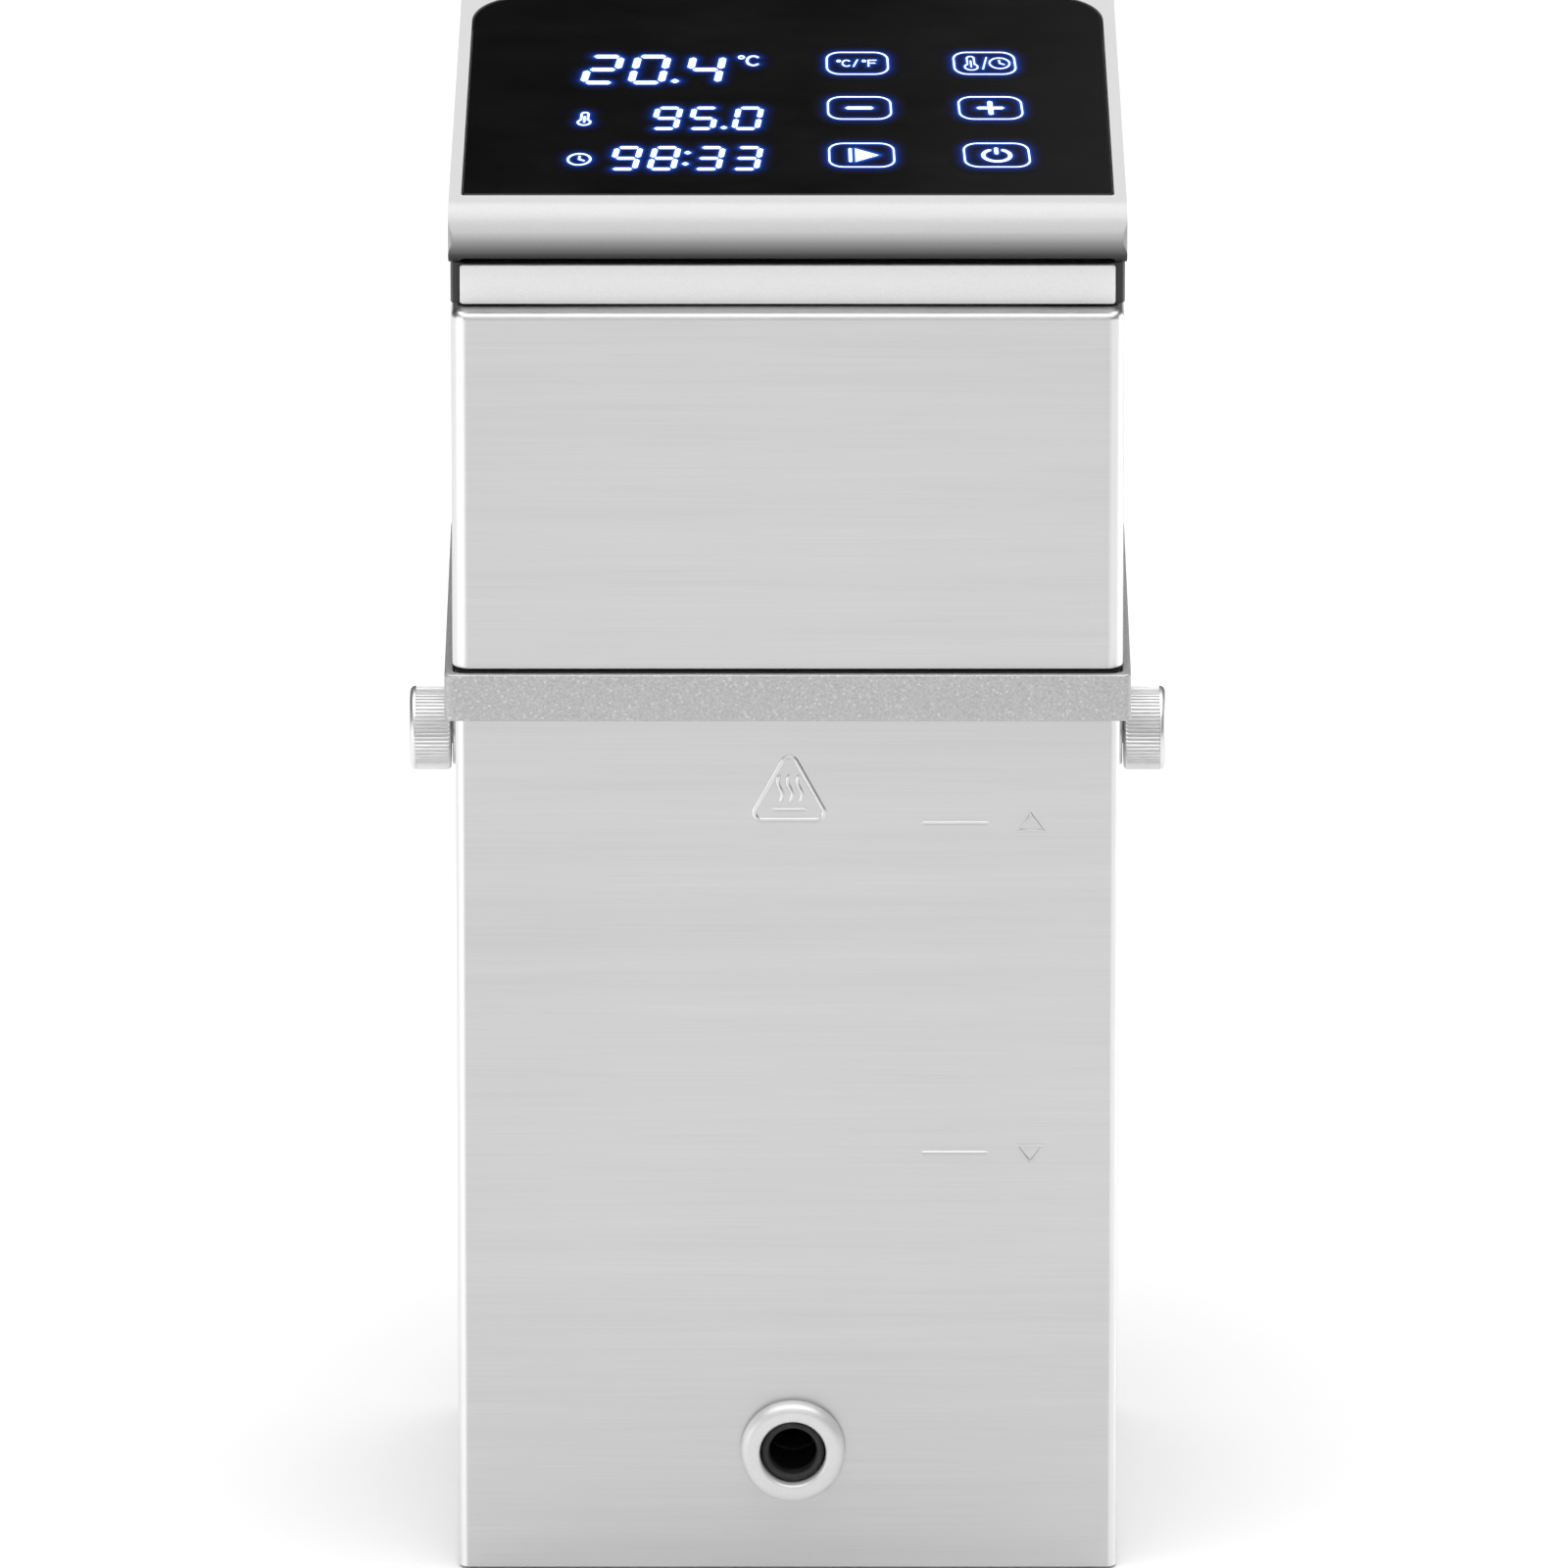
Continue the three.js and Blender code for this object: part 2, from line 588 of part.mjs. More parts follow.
function makeHeater() {
  const section = new THREE.Shape(circle(0, 0, HEATER_TUBE, 8));
  return solid(
    new THREE.ExtrudeGeometry(section, { steps: 84, bevelEnabled: false, extrudePath: heaterPath() }),
  );
}

function addHeater() {
  const group = new THREE.Group();
  circulator.add(group);
  add(group, "heater_coil", makeHeater(), satinSteel);
  const nut = cut(disc(HEATER_NUT.radius, 0, HEATER_NUT.height, 6), disc(HEATER_TUBE + GAP, -1, 9, 16));
  for (const side of bothSides) {
    const placed = add(group, `heater_nut_${sideName(side)}`, nut, brass);
    placed.position.set(side * heaterRadius, 0, deckTop + GAP);
  }
  const probeTop = deckTop + PROBE_ABOVE;
  const rods = [
    ["temperature_probe", PROBE],
    ["level_probe", LEVEL_ROD],
  ];
  for (const [name, { radius, depth, across, back }] of rods) {
    const rodBottom = deckBottom - depth;
    const rod = softSlabZ(circle(0, 0, radius, 12), 0, probeTop - rodBottom, radius * 0.36, 1);
    add(group, name, rod, satinSteel).position.set(across * heaterRadius, back * heaterRadius, rodBottom);
  }
}

// ------------------------------------------------------------------ deck, collar and thumb screws

const boltZ = collarTop - BRACKET_BOLT.z - COLLAR.proud;

function boltHoles(y0, y1) {
  const radius = BRACKET_BOLT.shank + GAP;
  return bothSides.map((side) => slabY(circle(side * BRACKET_BOLT.x, boltZ, radius, 12), y0, y1));
}

function makeDeck() {
  const deckX = collarInnerX - GAP;
  const deckY = collarInnerY - GAP;
  let deck = slabZ(centredRect(deckX, deckY, SLEEVE_EDGE), deckBottom, deckTop);
  for (const side of bothSides) {
    const [x0, x1] = [tabOuter - DECK_TAB.thickness, tabOuter].map((x) => x * side);
    const half = DECK_TAB.width / 2;
    const tabBottom = deckBottom - DECK_TAB.drop;
    const tab = slabX(
      [
        ...arc(-half + 6, tabBottom + 6, 6, 180, 270, 4),
        ...arc(half - 6, tabBottom + 6, 6, 270, 360, 4),
        new THREE.Vector2(half, deckBottom + 1),
        new THREE.Vector2(-half, deckBottom + 1),
      ],
      Math.min(x0, x1),
      Math.max(x0, x1),
    );
    deck = join(deck, tab);
  }
  const studHole = slabX(circle(0, thumbZ, THUMB_KNOB.stud + GAP, 16), -halfWidth, halfWidth);
  const through = (x, y, radius) => slabZ(circle(x, y, radius, 16), deckBottom - 1, deckTop + 1);
  return cut(
    deck,
    studHole,
    through(0, 0, SEAL.outer + GAP),
    through(heaterRadius, 0, HEATER_TUBE + GAP),
    through(-heaterRadius, 0, HEATER_TUBE + GAP),
    through(PROBE.across * heaterRadius, PROBE.back * heaterRadius, PROBE.radius + GAP),
    through(LEVEL_ROD.across * heaterRadius, LEVEL_ROD.back * heaterRadius, LEVEL_ROD.radius + GAP),
    ...boltHoles(deckY - BRACKET_BOLT.length, deckY + 1),
  );
}

function makeCollar() {
  const outside = slabZ(centredRect(collarOuterX, collarOuterY, COLLAR.edge), collarBottom, collarTop);
  const innerEdge = COLLAR.edge - 1;
  const inside = slabZ(
    centredRect(collarInnerX, collarInnerY, innerEdge),
    collarBottom - 1,
    collarTop + 1,
  );
  return cut(outside, inside, ...boltHoles(collarInnerY - 1, collarOuterY + 1));
}

function makeGasket() {
  const x = housingHalfWidth - GASKET.inset;
  const y = housingHalfDepth - GASKET.inset;
  const z0 = deckTop + GAP;
  const z1 = z0 + GASKET.thickness;
  const outside = slabZ(centredRect(x, y, HOUSING_EDGE - GASKET.inset), z0, z1);
  const inside = slabZ(centredRect(x - GASKET.width, y - GASKET.width, 1), z0 - 1, z1 + 1);
  return cut(outside, inside);
}

function makeThumbKnob() {
  const { radius, length, chamfer, stud, reach } = THUMB_KNOB;
  return turned(
    [
      [0, -reach],
      [stud - 0.5, -reach],
      [stud, 0.5 - reach],
      [stud, 0],
      [radius - 0.4, 0],
      [radius, 0.4],
      [radius, length - chamfer],
      [radius - chamfer, length],
      [0, length],
    ],
    28,
  );
}

function addDeck() {
  const group = new THREE.Group();
  circulator.add(group);
  add(group, "deck", makeDeck(), castAlloy);
  add(group, "collar", makeCollar(), castAlloy);
  add(group, "deck_gasket", makeGasket(), blackRubber);
  const washer = ring(THUMB_WASHER.radius, THUMB_KNOB.stud + GAP, 0, THUMB_WASHER.thickness);
  const nut = cut(
    disc(STUD_NUT.radius, 0, STUD_NUT.thickness, 6),
    disc(THUMB_KNOB.stud + GAP, -1, STUD_NUT.thickness + 1, 16),
  );
  for (const side of bothSides) {
    const out = side < 0 ? "-x" : "+x";
    const name = sideName(side);
    const washerX = halfWidth + GAP;
    const knobX = washerX + THUMB_WASHER.thickness + GAP;
    const nutX = tabOuter - DECK_TAB.thickness - GAP - STUD_NUT.thickness;
    add(facing(group, [side * washerX, 0, thumbZ], out), `thumb_washer_${name}`, washer, satinSteel);
    add(facing(group, [side * knobX, 0, thumbZ], out), `thumb_knob_${name}`, makeThumbKnob(), machinedAlloy);
    add(facing(group, [side * nutX, 0, thumbZ], out), `stud_nut_${name}`, nut, brass);
  }
}

// ------------------------------------------------------------------ upper housing and what it holds

function makeUpperShell() {
  const outline = centredRect(housingHalfWidth, housingHalfDepth, HOUSING_EDGE, 5);
  const outside = softSlabZ(outline, housingBottom, housingTop, HOUSING_RIM, 3);
  const insideX = housingHalfWidth - HOUSING_WALL;
  const insideY = housingHalfDepth - HOUSING_WALL;
  const inside = slabZ(
    centredRect(insideX, insideY, HOUSING_EDGE - HOUSING_WALL),
    housingBottom - 1,
    housingTop - HOUSING_WALL,
  );
  const top = slabZ(
    centredRect(housingHalfWidth - HOUSING_LEDGE, housingHalfDepth - HOUSING_LEDGE, 3),
    housingTop - 5,
    housingTop + 1,
  );
  const rear = [insideY - 1, housingHalfDepth + 1];
  const ventTop = housingTop - VENT.belowTop;
  const { width, height } = INLET.body;
  const socket = rectangle(
    -width / 2 - GAP,
    width / 2 + GAP,
    inletZ - height / 2 - GAP,
    inletZ + height / 2 + GAP,
  );
  const screws = bothSides.map((side) =>
    slabY(circle(side * INLET_SCREW.spread, inletZ, INLET_SCREW.shank + GAP, 12), ...rear),
  );
  const vents = spread(VENT.eachSide, VENT.pitch).map((x) =>
    slabY(
      roundedRect(
        x - VENT.width / 2,
        x + VENT.width / 2,
        housingBottom + VENT.aboveBottom,
        ventTop,
        VENT.width / 2,
        2,
      ),
      ...rear,
    ),
  );
  return cut(outside, inside, top, slabY(socket, ...rear), ...screws, ...vents);
}

function makeHeatSink() {
  const { width, base, depth, height, fins, fin } = HEAT_SINK;
  let sink = block(0, width, 0, base, 0, height);
  for (let i = 0; i < fins; i += 1) {
    const x = ((width - fin) * i) / (fins - 1);
    sink = join(sink, block(x, x + fin, base / 2, depth, 0, height));
  }
  return sink;
}

function makeFanFrame() {
  const half = fanSize / 2;
  const frame = slabZ(centredRect(half, half, 2.5, 3), 0, FAN.depth);
  const open = cut(frame, disc(fanBore, -1, FAN.depth + 1, 32));
  let spider = disc(FAN.hub, 0, FAN_SPOKE.thickness, 24);
  for (let i = 0; i < 3; i += 1) {
    const spoke = block(0, fanBore + 0.6, -FAN_SPOKE.width / 2, FAN_SPOKE.width / 2, 0, FAN_SPOKE.thickness);
    spider = join(spider, spoke.rotate([0, 0, 120 * i + 45]));
  }
  return join(open, spider);
}

function makeFanRotor() {
  const { depth, tipGap, blades, chord, blade, pitch } = FAN_ROTOR;
  const tip = fanBore - tipGap;
  let rotor = disc(FAN.hub, 0, depth, 24);
  for (let i = 0; i < blades; i += 1) {
    const flat = block(FAN.hub - 1, tip, -chord / 2, chord / 2, -blade / 2, blade / 2);
    const placed = flat.rotate([pitch, 0, 0]).translate([0, 0, depth / 2]);
    rotor = join(rotor, placed.rotate([0, 0, (360 * i) / blades]));
  }
  return rotor;
}

function makeInlet() {
  const { width, height, flange, body } = INLET;
  const socket = INLET_SOCKET;
  const plate = slabZ(centredRect(width / 2, height / 2, 3), 0, flange);
  const bodyDepth = socket.depth - flange + socket.floor;
  const box = block(-body.width / 2, body.width / 2, -body.height / 2, body.height / 2, -bodyDepth, 1);
  const [x, y, c] = [socket.width / 2, socket.height / 2, socket.chamfer];
  const mouth = points2([
    [-x, -y],
    [x, -y],
    [x, y - c],
    [x - c, y],
    [c - x, y],
    [-x, y - c],
  ]);
  let inlet = cut(join(plate, box), slabZ(mouth, flange - socket.depth, flange + 1));
  for (const side of bothSides) {
    inlet = cut(inlet, slabZ(circle(side * INLET_SCREW.spread, 0, INLET_SCREW.shank + GAP, 12), -1, 9));
  }
  for (const [px, py] of pinPlaces()) {
    const hole = rectangle(
      px - INLET_PIN.width / 2 - GAP,
      px + INLET_PIN.width / 2 + GAP,
      py - INLET_PIN.height / 2 - GAP,
      py + INLET_PIN.height / 2 + GAP,
    );
    inlet = cut(inlet, slabZ(hole, -bodyDepth - 1, 0));
  }
  return inlet;
}

const pinPlaces = () => [
  [-INLET_PIN.spread, -INLET_PIN.earthLift / 2],
  [INLET_PIN.spread, -INLET_PIN.earthLift / 2],
  [0, INLET_PIN.earthLift / 2],
];

function addInlet(parent) {
  // The group faces backwards, so its own +X is the object's +X and its own +Y points down.
  const group = facing(parent, [0, housingHalfDepth + GAP, inletZ], "+y");
  add(group, "inlet_shell", makeInlet(), blackPlastic);
  const names = ["inlet_pin_live", "inlet_pin_neutral", "inlet_pin_earth"];
  pinPlaces().forEach(([x, y], i) => {
    const front = INLET.flange - 3;
    const { width, height, length } = INLET_PIN;
    const pin = block(-width / 2, width / 2, -height / 2, height / 2, front - length, front);
    add(group, names[i], pin, brass).position.set(x, y, 0);
  });
  const { spread: screwX, head, headHeight, shank, length } = INLET_SCREW;
  const screw = turned(
    [
      [0, -length],
      [shank, -length],
      [shank, 0],
      [head, 0],
      [head, headHeight * 0.5],
      [head * 0.7, headHeight],
      [0, headHeight],
    ],
    16,
  );
  for (const side of bothSides) {
    const placed = add(group, `inlet_screw_${sideName(side)}`, screw, satinSteel);
    placed.position.set(side * screwX, 0, INLET.flange + GAP);
  }
}

function addUpperHousing() {
  const group = new THREE.Group();
  circulator.add(group);
  add(group, "upper_shell", makeUpperShell(), brushedSteel);

  const pillarBottom = deckTop + GAP;
  for (const { name, x, y } of corners) {
    const pillar = add(
      group,
      `pillar_${name}`,
      disc(PILLAR.radius, 0, housingTop - pillarBottom, 6),
      brass,
    );
    const px = x * (housingHalfWidth - PILLAR.inset);
    const py = y * (housingHalfDepth - PILLAR.inset);
    pillar.position.set(px, py, pillarBottom);
  }

  const boardFront = -housingHalfDepth + MAIN_BOARD.fromFront;
  const boardRear = boardFront + MAIN_BOARD.thickness;
  const board = block(
    -MAIN_BOARD.width / 2,
    MAIN_BOARD.width / 2,
    boardFront,
    boardRear,
    deckTop + MAIN_BOARD.lift,
    housingTop - MAIN_BOARD.belowTop,
  );
  add(group, "main_board", board, boardGreen);
  const { width, depth, height, x, lift } = TRANSFORMER;
  const coil = softSlabZ(rectangle(-width / 2, width / 2, 0, depth), 0, height, 1, 1);
  add(group, "transformer", coil, windingCopper).position.set(x, boardRear + GAP, deckTop + lift);
  const sink = add(group, "heat_sink", makeHeatSink(), machinedAlloy);
  sink.position.set(HEAT_SINK.x - HEAT_SINK.width / 2, boardRear + GAP, deckTop + HEAT_SINK.lift);

  const fanRear = housingHalfDepth - HOUSING_WALL - 0.8;
  const fanZ = fanTop - fanSize / 2;
  const fan = facing(group, [0, fanRear - FAN.depth, fanZ], "+y");
  add(fan, "fan_frame", makeFanFrame(), blackPlastic);
  const rotor = add(fan, "fan_rotor", makeFanRotor(), blackPlastic);
  rotor.position.z = FAN_SPOKE.thickness + 0.6;
  addInlet(group);
}

// ------------------------------------------------------------------ neck

function makeNeckFrame() {
  const spigotBottomX = headHalfWidth - HEAD_TAPER - HEAD_WALL - NECK_SPIGOT.fit;
  const spigotFront = noseY + HEAD_WALL + NECK_SPIGOT.fit;
  const spigotRear = housingHalfDepth - HEAD_WALL - NECK_SPIGOT.fit;
  const outer = roundedRect(-neckHalfWidth, neckHalfWidth, neckFront, spigotRear, 1.4, 2);
  const body = slabZ(outer, neckBottom, neckTop);
  const room = roundedRect(
    -neckHalfWidth + NECK_WALL,
    neckHalfWidth - NECK_WALL,
    neckFront + NECK_WALL,
    spigotRear - NECK_WALL,
    1,
    2,
  );
  const hollow = slabZ(room, neckBottom + NECK_FLOOR, neckTop + 1);
  const cableWindow = slabZ(
    centredRect(NECK_WINDOW.width / 2, NECK_WINDOW.depth / 2, 3),
    neckBottom - 1,
    neckBottom + NECK_FLOOR + 1,
  );
  const spigotTop = neckTop + NECK_SPIGOT.height;
  const spigotRadius = HEAD_CORNER - HEAD_WALL;
  const spigotOutline = [
    ...arc(spigotBottomX - spigotRadius, spigotRear - spigotRadius, spigotRadius, 0, 90, 4),
    ...arc(spigotRadius - spigotBottomX, spigotRear - spigotRadius, spigotRadius, 90, 180, 4),
    new THREE.Vector2(-spigotBottomX, spigotFront),
    new THREE.Vector2(spigotBottomX, spigotFront),
  ];
  const wall = NECK_SPIGOT.wall;
  const innerRadius = spigotRadius - wall;
  const innerX = spigotBottomX - wall;
  const innerRear = spigotRear - wall;
  const spigotRoom = [
    ...arc(innerX - innerRadius, innerRear - innerRadius, innerRadius, 0, 90, 4),
    ...arc(innerRadius - innerX, innerRear - innerRadius, innerRadius, 90, 180, 4),
    new THREE.Vector2(-innerX, spigotFront + wall),
    new THREE.Vector2(innerX, spigotFront + wall),
  ];
  const spigot = cut(
    slabZ(spigotOutline, neckTop - NECK_WALL, spigotTop),
    slabZ(spigotRoom, neckTop - NECK_WALL - 1, spigotTop + 1),
  );
  let frame = join(cut(body, hollow), spigot);
  frame = cut(frame, cableWindow);
  const ventBottom = neckBottom + NECK_VENT.lift;
  for (const y of spread(NECK_VENT.eachSide, NECK_VENT.pitch)) {
    const outline = roundedRect(
      y - NECK_VENT.length / 2,
      y + NECK_VENT.length / 2,
      ventBottom,
      ventBottom + NECK_VENT.height,
      0.8,
      1,
    );
    for (const side of bothSides) {
      const [x0, x1] = [neckHalfWidth - NECK_WALL - 0.4, neckHalfWidth + 1].map((x) => x * side);
      frame = cut(frame, slabX(outline, Math.min(x0, x1), Math.max(x0, x1)));
    }
  }
  return frame;
}

function addNeck() {
  const group = new THREE.Group();
  circulator.add(group);
  add(group, "neck_frame", makeNeckFrame(), blackPlastic);
  const half = neckHalfWidth - NECK_BAND.side;
  const bandRear = neckFront - GAP;
  const band = slabY(
    roundedRect(-half, half, neckBottom + NECK_BAND.trim, neckTop - NECK_BAND.trim, 0.6, 2),
    bandRear - NECK_BAND.thickness,
    bandRear,
  );
  add(group, "neck_band", band, satinSteel);
}

// ------------------------------------------------------------------ head and control panel

// The head seen from the side. With an inset it gives the hollow inside, open at the bottom.
function headProfile(inset, topInset) {
  const nose = NOSE_RADIUS - inset;
  const rear = REAR_RADIUS - inset;
  const drop = topInset - inset;
  const bottom = inset ? headBottom - 1 : headBottom;
  const start = inset ? [[noseY, bottom]] : arc(noseY, noseZ, nose, 270, 258, 1).map((p) => [p.x, p.y]);
  const lower = (p) => [p.x, Math.min(p.y, p.y - drop * (p.y > noseZ ? (p.y - noseZ) / nose : 0))];
  const front = arc(noseY, noseZ, nose, inset ? 180 : 252, 90 + HEAD_SLOPE, inset ? 5 : 10).map(lower);
  const back = arc(rearY, rearZ, rear, 90 + HEAD_SLOPE, 0, inset ? 4 : 8).map((p) => [p.x, p.y - drop]);
  const sole = inset
    ? [[housingHalfDepth - inset, bottom]]
    : [
        [housingHalfDepth, headBottom + 1],
        [housingHalfDepth - 1, headBottom],
      ];
  const loop = inset
    ? [[noseY - nose, bottom + 1 + inset], ...front, ...back, ...sole, [noseY + inset, bottom]]
    : [...start, ...front, ...back, ...sole];
  return points2(loop).reverse();
}

// The head seen from above: straight sides that draw in towards the rear, and rounded rear corners.
function headPlan(inset) {
  const front = -housingHalfDepth - (inset ? -inset : 0);
  const rear = housingHalfDepth - inset;
  const widthAt = (y) =>
    headHalfWidth - inset - (HEAD_TAPER * (y + housingHalfDepth)) / (2 * housingHalfDepth);
  const radius = HEAD_CORNER - inset;
  const cornerX = widthAt(rear - radius) - radius;
  const tip = HEAD_FRONT_CORNER;
  const right = [
    ...arc(widthAt(front + tip) - tip, front + tip, tip, -90, 0, 2),
    ...arc(cornerX, rear - radius, radius, 0, 90, 7),
  ];
  const left = right.map((p) => new THREE.Vector2(-p.x, p.y)).reverse();
  return [...right, ...left];
}

// Turns panel coordinates (X, distance up the slope, height above the surface) into the part's frame.
const panelPlace = new THREE.Matrix4()
  .makeTranslation(0, panelStart.y, panelStart.z)
  .multiply(new THREE.Matrix4().makeRotationX(slope));

function glassOutline(grow) {
  const front = GLASS.start - grow;
  const rear = panelLength - GLASS.rearRim + grow;
  const halfAt = (along) => {
    const y = panelStart.y + along * Math.cos(slope);
    const drawnIn = (HEAD_TAPER * (y + housingHalfDepth)) / (2 * housingHalfDepth);
    return headHalfWidth - PANEL_RIM - drawnIn + grow;
  };
  const radius = GLASS.corner + grow;
  const cornerX = halfAt(rear - radius) - radius;
  const tip = GLASS.frontCorner;
  const right = [
    ...arc(halfAt(front + tip) - tip, front + tip, tip, -90, 0, 1),
    ...arc(cornerX, rear - radius, radius, 0, 90, 6),
  ];
  const left = right.map((p) => new THREE.Vector2(-p.x, p.y)).reverse();
  return [...right, ...left];
}

const panelSlab = (outline, low, high) =>
  solid(extruded(outline, high - low).translate(0, 0, low).applyMatrix4(panelPlace));

function makeHeadCover() {
  const roof = GLASS.thickness + GAP + PANEL_LEDGE.thickness;
  const outside = slabX(headProfile(0, 0), -headHalfWidth - 1, headHalfWidth + 1).intersect(
    slabZ(headPlan(0), headBottom - 1, rearZ + REAR_RADIUS + 1),
  );
  const inside = slabX(headProfile(HEAD_WALL, roof), -headHalfWidth - 1, headHalfWidth + 1).intersect(
    slabZ(headPlan(HEAD_WALL), headBottom - 2, rearZ + REAR_RADIUS + 1),
  );
  const pocket = panelSlab(glassOutline(GAP), -GLASS.thickness - GAP, 5);
  const opening = panelSlab(glassOutline(-PANEL_LEDGE.width), -roof - 12, 5);
  return cut(outside, inside, pocket, opening);
}

function addHead() {
  const group = new THREE.Group();
  circulator.add(group);
  add(group, "head_cover", makeHeadCover(), silverCover);
  const panel = new THREE.Group();
  panel.applyMatrix4(panelPlace);
  group.add(panel);
  add(panel, "control_glass", slabZ(glassOutline(0), -GLASS.thickness, 0), blackGlass);
  const { inset, thickness, below } = DISPLAY_BOARD;
  const boardHalf = headHalfWidth - HEAD_TAPER - inset;
  const board = roundedRect(-boardHalf, boardHalf, GLASS.start + inset, panelLength - inset, 2, 2);
  add(panel, "display_board", slabZ(board, -below - thickness, -below), boardGreen);
  const led = LED_BLOCK;
  const ledTop = -GLASS.thickness - 1.2;
  const blockOutline = roundedRect(
    led.x - led.width / 2,
    led.x + led.width / 2,
    led.along - led.depth / 2,
    led.along + led.depth / 2,
    1,
    2,
  );
  add(panel, "led_display", slabZ(blockOutline, ledTop - led.thickness, ledTop), displayGrey);
}

// ------------------------------------------------------------------ pot clamp

function makeBracket() {
  const { width, earWidth, height, jaw, bridge, leg, round } = CLAMP;
  const top = collarTop;
  const bottom = top - height;
  const under = top - bridge;
  const jawRear = jawFront + jaw;
  const legRear = legFront + leg;
  const profile = [
    ...points2([
      [jawFront, bottom],
      [jawRear, bottom],
    ]),
    ...arc(jawRear + 2, under - 2, 2, 180, 90, 3),
    ...arc(legFront - 2, under - 2, 2, 90, 0, 3),
    ...points2([
      [legFront, bottom + 4],
      [legRear, bottom + 4],
    ]),
    ...arc(legRear - round, top - round, round, 0, 90, 5),
    new THREE.Vector2(jawFront, top),
  ];
  const body = slabX(profile, -width / 2, width / 2);
  const ears = slabY(
    roundedRect(-earWidth / 2, earWidth / 2, collarBottom, top, 3, 3),
    jawFront,
    jawRear,
  );
  const boss = slabY(circle(0, clampZ, CLAMP_BOSS.radius), legFront + 1, bossRear);
  const bore = slabY(circle(0, clampZ, CLAMP_SCREW_RADIUS + GAP), legFront - 1, bossRear + 1);
  return cut(join(body, ears, boss), bore, ...boltHoles(jawFront - 1, jawRear + 1));
}

function lobedOutline() {
  const { radius, lobe, lobes } = CLAMP_KNOB;
  const steps = lobes * 8;
  return Array.from({ length: steps }, (_, i) => {
    const angle = (2 * Math.PI * i) / steps;
    const r = radius + lobe * Math.cos(lobes * angle);
    return new THREE.Vector2(r * Math.cos(angle), r * Math.sin(angle));
  });
}

function addClamp() {
  const group = new THREE.Group();
  circulator.add(group);
  add(group, "clamp_bracket", makeBracket(), castAlloy);
  const jawPad = slabY(
    roundedRect(
      -JAW_PAD.width / 2,
      JAW_PAD.width / 2,
      clampZ - JAW_PAD.height / 2,
      clampZ + JAW_PAD.height / 2,
      3,
      3,
    ),
    jawPadFront,
    jawPadFront + JAW_PAD.thickness,
  );
  add(group, "jaw_pad", jawPad, blackRubber);

  const axis = facing(group, [0, pressureFace, clampZ], "+y");
  const pad = cut(
    softSlabZ(circle(0, 0, PRESSURE_PAD.radius, 32), 0, PRESSURE_PAD.thickness, PRESSURE_PAD.rim, 1),
    disc(CLAMP_SCREW_RADIUS + GAP, PRESSURE_PAD.thickness - PRESSURE_PAD.socket, 20, 20),
  );
  add(axis, "pressure_pad", pad, blackRubber);
  const screwFront = PRESSURE_PAD.thickness - PRESSURE_PAD.socket + GAP;
  const knobFront = clampKnobFront - pressureFace;
  const screwRear = knobFront + CLAMP_KNOB.bore;
  add(axis, "clamp_screw", disc(CLAMP_SCREW_RADIUS, screwFront, screwRear, 20), satinSteel);
  const knob = cut(
    softSlabZ(lobedOutline(), knobFront, knobFront + CLAMP_KNOB.length, CLAMP_KNOB.edge, 2),
    disc(CLAMP_SCREW_RADIUS + GAP, knobFront - 1, screwRear + GAP, 20),
  );
  add(axis, "clamp_knob", knob, blackPlastic);

  const { shank, head, headHeight, length, x } = BRACKET_BOLT;
  const bolt = turned(
    [
      [0, -length],
      [shank, -length],
      [shank, 0],
      [head, 0],
      [head, headHeight * 0.6],
      [head * 0.75, headHeight],
      [0, headHeight],
    ],
    16,
  );
  for (const side of bothSides) {
    const seat = facing(group, [side * x, jawFront + CLAMP.jaw + GAP, boltZ], "+y");
    add(seat, `bracket_bolt_${sideName(side)}`, bolt, satinSteel);
  }
}

// ------------------------------------------------------------------ the whole circulator

addSleeve();
addPump();
addHeater();
addDeck();
addUpperHousing();
addNeck();
addHead();
addClamp();

export default circulator;
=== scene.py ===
"""The looks of a commercial sous vide circulator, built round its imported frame.

Lengths are in millimetres in the row's frame (+Z up, front towards -Y) and become metres in the meshes.
Every detailed piece takes its place from the CAD node that it stands for.
"""

import json
import math

import bmesh
import bpy
import numpy as np
from mathutils import Matrix, Vector


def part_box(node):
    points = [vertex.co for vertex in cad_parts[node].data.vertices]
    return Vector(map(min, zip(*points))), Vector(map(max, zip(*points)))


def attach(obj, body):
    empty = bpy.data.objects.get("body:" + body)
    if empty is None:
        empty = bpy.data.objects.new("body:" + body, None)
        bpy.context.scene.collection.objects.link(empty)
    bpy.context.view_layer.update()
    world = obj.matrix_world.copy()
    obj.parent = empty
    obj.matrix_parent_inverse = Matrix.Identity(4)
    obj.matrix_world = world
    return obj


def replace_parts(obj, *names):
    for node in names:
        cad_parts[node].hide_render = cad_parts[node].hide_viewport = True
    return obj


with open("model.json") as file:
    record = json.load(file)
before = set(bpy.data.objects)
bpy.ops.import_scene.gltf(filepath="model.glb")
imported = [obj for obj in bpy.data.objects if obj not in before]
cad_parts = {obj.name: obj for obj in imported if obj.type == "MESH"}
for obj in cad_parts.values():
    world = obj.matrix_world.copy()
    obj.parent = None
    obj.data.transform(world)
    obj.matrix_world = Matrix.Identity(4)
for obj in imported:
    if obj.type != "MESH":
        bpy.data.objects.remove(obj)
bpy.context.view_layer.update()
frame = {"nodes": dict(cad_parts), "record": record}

MM = 0.001
SAME_POINT = 1e-6  # in metres
BODY_OF = {
    node: body
    for body, nodes in frame["record"]["behaviour"]["bodies"].items()
    for node in nodes
}
SLOT_OF = {part["node"]: part["material_slot"] for part in frame["record"]["subparts"]}


